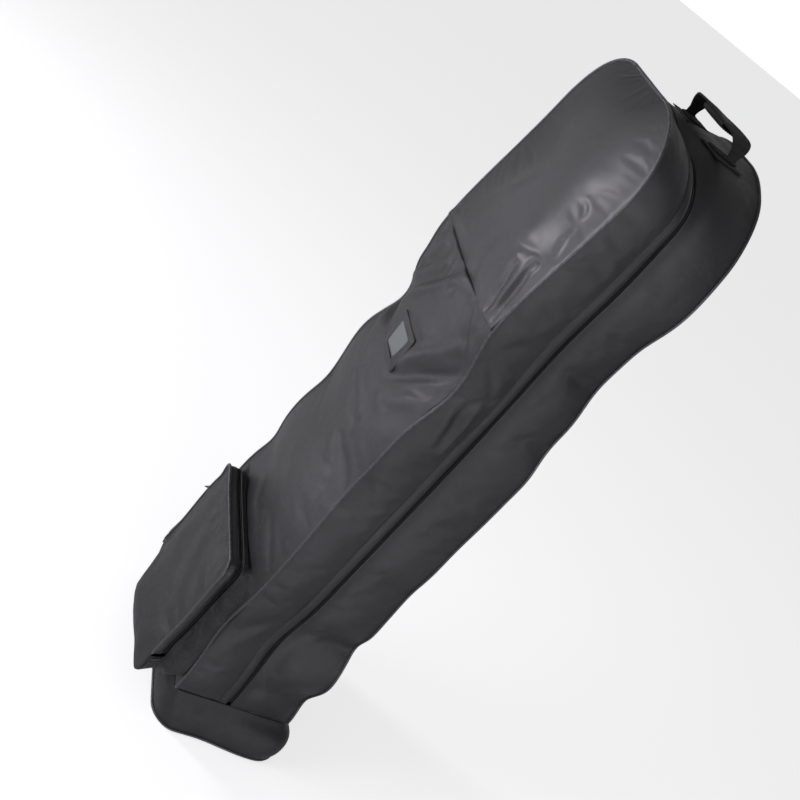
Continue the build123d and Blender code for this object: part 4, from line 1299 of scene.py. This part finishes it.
class CASE_OT_handle(bpy.types.Operator):
    """Webbing handle with a stitched grip, and the patches and feet that hold it"""

    bl_idname = "golf_case.handle"
    bl_label = "Handle"

    def execute(self, context):
        low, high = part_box("handle_strap")
        grip_low, grip_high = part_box("handle_grip")
        y_mid, thick = (low.y + high.y) / 2, 0.0026
        pivot = TOP + 0.012
        half_x, arch_top, bend = high.x - 0.0015, high.z - 0.0075, 0.017
        line = []
        for z in np.linspace(low.z + 0.001, arch_top - bend, 9):
            line.append((-half_x, z))
        for a in np.linspace(math.pi, math.pi / 2, 12)[1:]:
            line.append((-half_x + bend + bend * math.cos(a), arch_top - bend + bend * math.sin(a)))
        for x in np.linspace(-half_x + bend, half_x - bend, 14)[1:]:
            line.append((x, arch_top + 0.0012 * math.sin(math.pi * (x + half_x) / (2 * half_x))))
        line += [(-x, z) for x, z in line[:20][::-1]]
        line = np.array(line)
        rows = []
        for x, z in line:
            rise = np.clip((z - pivot) / 0.028, 0, 1)
            wide = 0.008 + 0.011 * rise
            if z < pivot:
                wide = 0.008 * math.sqrt(max(0.05, 1 - ((pivot - z) / 0.0085) ** 2))
            lean = -0.003 * rise * rise
            rows.append([(x, y_mid + lean + wide * s, z + 0.0015 * s * rise * math.sin(x * 40)) for s in np.linspace(-1, 1, 13)])
        rows = np.array(rows)
        strap = grid("handle_web", rows, (0, y_mid, low.z + 0.01))
        dress(strap, "handle", strap_cloth(), ["handle_strap"], wall=thick, smooth=1)
        length, pad_z, pad_y, pad_high = grip_high.x - grip_low.x, arch_top - 0.0045, y_mid - 0.002, 0.0058
        rings = []
        for t in np.linspace(0, 1, 21):
            x = grip_low.x + length * t
            full = 1 - 0.22 * abs(2 * t - 1) ** 6
            ring = []
            for a in np.linspace(0, 2 * math.pi, 28, endpoint=False):
                c, s = math.cos(a), math.sin(a)
                y = math.copysign(abs(c) ** 0.55, c) * (grip_high.y - grip_low.y) / 2 * (0.74 + 0.07 * full)
                z = math.copysign(abs(s) ** 0.75, s) * pad_high * full
                ring.append((x, pad_y + y, pad_z + z))
            rings.append(ring)
        grip = grid("handle_pad", np.array(rings), (0, pad_y, pad_z), loop=True)
        padding = cloth_material("grip_cover", colours().webbing, 0.5, pitch=0.0012, crush=0.0012, scale=60.0)
        dress(grip, "handle", padding, ["handle_grip"], wall=0.0022)
        ends = []
        for t in (0.06, 0.94):
            ring = np.array(rings[1 if t < 0.5 else -2])
            ends.append((np.concatenate([ring, ring[:1]]), np.array([0, 0, 1.0])))
        size = sizes()
        ride_row(row("grip_stitches", ends, thread_cloth(), 0.004, 0.0014, 0.0004, 0.0004), "handle")
        feet_low, feet_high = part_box("handle_feet")
        patch_low, patch_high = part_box("handle_patches")
        pieces, patches, lines = [], [], []
        for side in (-1, 1):
            outer = side * feet_high.x
            inner = side * (feet_high.x - 0.036)
            sole_z = TOP + 0.0016 + 0.0022
            xs = np.linspace(inner, outer, 12)
            path = [(x, sole_z) for x in xs[:-1]] + [(outer - side * 0.0006, sole_z + 0.0008)]
            path += [(outer, z) for z in np.linspace(sole_z + 0.002, feet_high.z, 5)]
            rows = []
            for k, (x, z) in enumerate(path):
                wide = 0.019 if k < 10 else 0.019 - 0.011 * min(1, (k - 9) / 3)
                rows.append([(x - side * 0.0, y_mid + wide * s, z) for s in np.linspace(-1, 1, 9)])
            foot = grid(f"foot_{side}", np.array(rows), (0, y_mid, TOP - 0.2))
            pieces.append(foot)
            middle = (inner + outer) / 2
            xs, ys = np.linspace(middle - 0.028, middle + 0.028, 12), np.linspace(patch_low.y, patch_high.y, 12)
            x, y = np.meshgrid(xs, ys)
            near = np.minimum(0.028 - np.abs(x - middle), (patch_high.y - patch_low.y) / 2 - np.abs(y - y_mid))
            z = TOP + 0.0004 + 0.0012 * ramp(near, 0, 0.004)
            patches.append(grid(f"patch_{side}", np.stack([x, y, z], -1), (0, 0, 0.6)))
            for a, b in (((inner, -0.016), (outer, -0.016)), ((inner, 0.016), (outer, 0.016)), ((inner, -0.016), (outer, 0.016)), ((inner, 0.016), (outer, -0.016)), ((inner, -0.016), (inner, 0.016))):
                t = np.linspace(0.06, 0.9, 10)[:, None]
                ends = np.array(a)[None] * (1 - t) + np.array(b)[None] * t
                lines.append((np.stack([ends[:, 0], y_mid + ends[:, 1], np.full(len(t), sole_z + 0.0001)], -1), np.array([0, 0, 1.0])))
        foot = join("handle_foot_webs", pieces)
        dress(foot, "case", strap_cloth(), ["handle_feet"], wall=0.0022)
        patch = join("handle_foot_patches", patches)
        dress(patch, "case", boot_cloth(), ["handle_patches"], wall=0.001)
        ride_row(row("foot_stitches", lines, thread_cloth(), 0.0034, 0.0012, size.thread, size.thread), "case")
        return {"FINISHED"}


class CASE_OT_fittings(bpy.types.Operator):
    """Finishes of the sliders, pulls, tie straps, buckles, base board and fold seam"""

    bl_idname = "golf_case.fittings"
    bl_label = "Fittings"

    def execute(self, context):
        metal = cloth_material("slider_enamel", colours().metal, 0.3, uv=False, weave=0.0, crush=0.0003, sheen=0.0, scale=300.0, coat=0.4, metallic=0.7)
        buckle = cloth_material("buckle_plastic", (0.012, 0.012, 0.013), 0.4, uv=False, weave=0.0, crush=0.0002, sheen=0.0, scale=400.0)
        board = cloth_material("base_board_sheet", (0.02, 0.02, 0.021), 0.55, uv=False, pitch=0.003, weave=0.0002, crush=0.0004, sheen=0.0, scale=90.0)
        web = cloth_material("tie_webbing_flat", colours().webbing, 0.6, uv=False, pitch=0.0022, weave=0.0002, crush=0.0003, ribs=0.6)
        # The fold seam's cord takes the piping's colour, painted highlight included.
        cord = cloth_material("base_cord_cover", colours().piping, 0.45, uv=False, pitch=0.0011, crush=0.0004, scale=60.0)
        finishes = {
            metal: ("slider_upper", "slider_lower", "slider_pull_upper", "slider_pull_lower", "pocket_slider", "pocket_pull"),
            buckle: ("tie_socket_lower", "tie_socket_upper", "tie_tongue_lower", "tie_tongue_upper"),
            board: ("base_board",),
            web: ("tie_webbing_lower", "tie_anchors_lower"),
            cord: ("fold_seam",),
        }
        for material, nodes in finishes.items():
            for node in nodes:
                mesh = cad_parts[node].data
                mesh.materials.clear()
                mesh.materials.append(material)
        return {"FINISHED"}


POCKET_SOFT = ("pocket_walls", "pocket_floor", "pocket_rim", "pocket_cord", "pocket_tape_band", "flap_tape_band", "pocket_teeth_row", "flap_teeth_row")


class CASE_OT_drape(bpy.types.Operator):
    """Lets the soft sheets settle between their seams, then gives them their wall"""

    bl_idname = "golf_case.drape"
    bl_label = "Drape"

    def execute(self, context):
        scene = context.scene
        rest = {}
        for obj, growth, pressure, _ in SOFT:
            rest[obj.name] = np.array([v.co for v in obj.data.vertices])
            cloth = obj.modifiers.new("Settle", "CLOTH")
            settings = cloth.settings
            settings.quality = 6
            settings.mass = 0.25
            settings.effector_weights.gravity = 0
            settings.vertex_group_mass = "seams"
            settings.shrink_min = -growth
            settings.use_pressure = True
            settings.uniform_pressure_force = pressure
            settings.tension_stiffness = settings.compression_stiffness = 12
            settings.shear_stiffness = 6
            settings.bending_stiffness = 0.4
            settings.air_damping = 4
            cloth.collision_settings.use_collision = False
            cloth.point_cache.frame_start, cloth.point_cache.frame_end = 1, 24
        for step in range(1, 23):
            scene.frame_set(step)
        graph = context.evaluated_depsgraph_get()
        for obj, _, _, cap in SOFT:
            seen = obj.evaluated_get(graph)
            moved = np.array([v.co for v in seen.data.vertices])
            shift = moved - rest[obj.name]
            far = np.linalg.norm(shift, axis=1, keepdims=True)
            shift *= cap * np.tanh(far / cap) / np.maximum(far, 1e-9)
            obj.modifiers.remove(obj.modifiers["Settle"])
            obj.data.vertices.foreach_set("co", (rest[obj.name] + shift).astype(np.float32).ravel())
            obj.data.update()
        scene.frame_set(1)
        for obj, _, _, _ in SOFT:
            obj.vertex_groups.clear()
            rounder = obj.modifiers.new("Smooth", "SUBSURF")
            rounder.levels = rounder.render_levels = 1
            thick = obj.modifiers.new("Wall", "SOLIDIFY")
            thick.thickness, thick.offset, thick.use_rim = sizes().wall, -1, True
        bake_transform(bpy.data.objects["pocket_front"])
        for name in POCKET_SOFT:
            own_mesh(bpy.data.objects[name])
        return {"FINISHED"}


class CASE_OT_stage(bpy.types.Operator):
    """Pale floor, white surroundings, soft lights and the camera"""

    bl_idname = "golf_case.stage"
    bl_label = "Stage"

    def execute(self, context):
        scene = context.scene
        mesh = bpy.data.meshes.new("studio_floor")
        mesh.from_pydata([(-30, -30, 0), (30, -30, 0), (30, 30, 0), (-30, 30, 0)], [], [(0, 1, 2, 3)])
        floor = link(bpy.data.objects.new("studio_floor", mesh))
        pale = bpy.data.materials.new("studio_floor")
        pale.use_nodes = True
        shader = pale.node_tree.nodes["Principled BSDF"]
        shader.inputs["Base Color"].default_value = (*colours().floor, 1)
        shader.inputs["Roughness"].default_value = 0.9
        shader.inputs["Specular IOR Level"].default_value = 0.1
        shader.inputs["Emission Color"].default_value = (1, 1, 1, 1)
        path = pale.node_tree.nodes.new("ShaderNodeLightPath")
        glow = pale.node_tree.nodes.new("ShaderNodeMath")
        glow.operation = "MULTIPLY"
        glow.inputs[1].default_value = 0.62
        pale.node_tree.links.new(path.outputs["Is Camera Ray"], glow.inputs[0])
        pale.node_tree.links.new(glow.outputs[0], shader.inputs["Emission Strength"])
        mesh.materials.append(pale)
        world = bpy.data.worlds.new("studio_white")
        world.use_nodes = True
        tree = world.node_tree
        seen, strength = tree.nodes.new("ShaderNodeLightPath"), tree.nodes.new("ShaderNodeMapRange")
        strength.inputs["To Min"].default_value, strength.inputs["To Max"].default_value = 0.2, 1.1
        tree.links.new(seen.outputs["Is Camera Ray"], strength.inputs["Value"])
        tree.links.new(strength.outputs["Result"], tree.nodes["Background"].inputs["Strength"])
        tree.nodes["Background"].inputs["Color"].default_value = (1, 1, 1, 1)
        scene.world = world
        scene.view_settings.view_transform = "Standard"
        centre = Vector((0, 0, 0.65))
        for name, place, energy, size in (
            ("key_light", (0.2, -3.0, 1.1), 35, 1.9),
            ("glint_light", (-1.35, -2.23, 0.80), 22, 0.45),
            ("side_light", (3.0, 0.1, 0.25), 50, 1.6),
        ):
            lamp = bpy.data.lights.new(name, "AREA")
            lamp.shape, lamp.size, lamp.energy, lamp.color = "DISK", size, energy, (1.0, 0.975, 1.04)
            obj = link(bpy.data.objects.new(name, lamp))
            obj.location = place
            obj.rotation_euler = (centre - Vector(place)).to_track_quat("-Z", "Y").to_euler()
        azimuth, elevation, roll = math.radians(59.57), math.radians(25.90), math.radians(-40.91)
        back = Vector((math.sin(azimuth) * math.cos(elevation), -math.cos(azimuth) * math.cos(elevation), math.sin(elevation)))
        right = (-back).cross(Vector((0, 0, 1))).normalized()
        down = (-back).cross(right)
        across = math.cos(roll) * right + math.sin(roll) * down
        under = -math.sin(roll) * right + math.cos(roll) * down
        lens = bpy.data.cameras.new("view_camera")
        lens.lens, lens.sensor_width = 49.83, 36
        lens.clip_start, lens.clip_end = 0.05, 200
        camera = link(bpy.data.objects.new("view_camera", lens))
        turned = Matrix((across, -under, back)).transposed().to_4x4()
        turned.translation = Vector((1.2958, -0.8147, 1.3782))
        camera.matrix_world = turned
        scene.camera = camera
        return {"FINISHED"}


PIECES = (
    CASE_OT_front, CASE_OT_head, CASE_OT_back, CASE_OT_sides, CASE_OT_piping, CASE_OT_zip, CASE_OT_stitches,
    CASE_OT_card, CASE_OT_pocket, CASE_OT_boot, CASE_OT_foam, CASE_OT_handle, CASE_OT_fittings, CASE_OT_drape,
    CASE_OT_stage,
)


class CASE_PT_panel(bpy.types.Panel):
    """Lists the pieces of the case and their sizes and colours"""

    bl_idname = "CASE_PT_panel"
    bl_label = "Golf travel case"
    bl_space_type = "VIEW_3D"
    bl_region_type = "UI"
    bl_category = "Golf case"

    def draw(self, context):
        for piece in PIECES:
            self.layout.operator(piece.bl_idname)
        for group in (context.scene.case_sizes, context.scene.case_colours):
            box = self.layout.box()
            for name in group.__annotations__:
                box.prop(group, name)


CLASSES = (CaseSizes, CaseColours, *PIECES, CASE_PT_panel)


def register():
    for item in CLASSES:
        bpy.utils.register_class(item)
    bpy.types.Scene.case_sizes = PointerProperty(type=CaseSizes)
    bpy.types.Scene.case_colours = PointerProperty(type=CaseColours)


def unregister():
    del bpy.types.Scene.case_colours
    del bpy.types.Scene.case_sizes
    for item in reversed(CLASSES):
        bpy.utils.unregister_class(item)


def main():
    register()
    for piece in PIECES:
        group, name = piece.bl_idname.split(".")
        getattr(getattr(bpy.ops, group), name)()


if __name__ == "__main__":
    main()
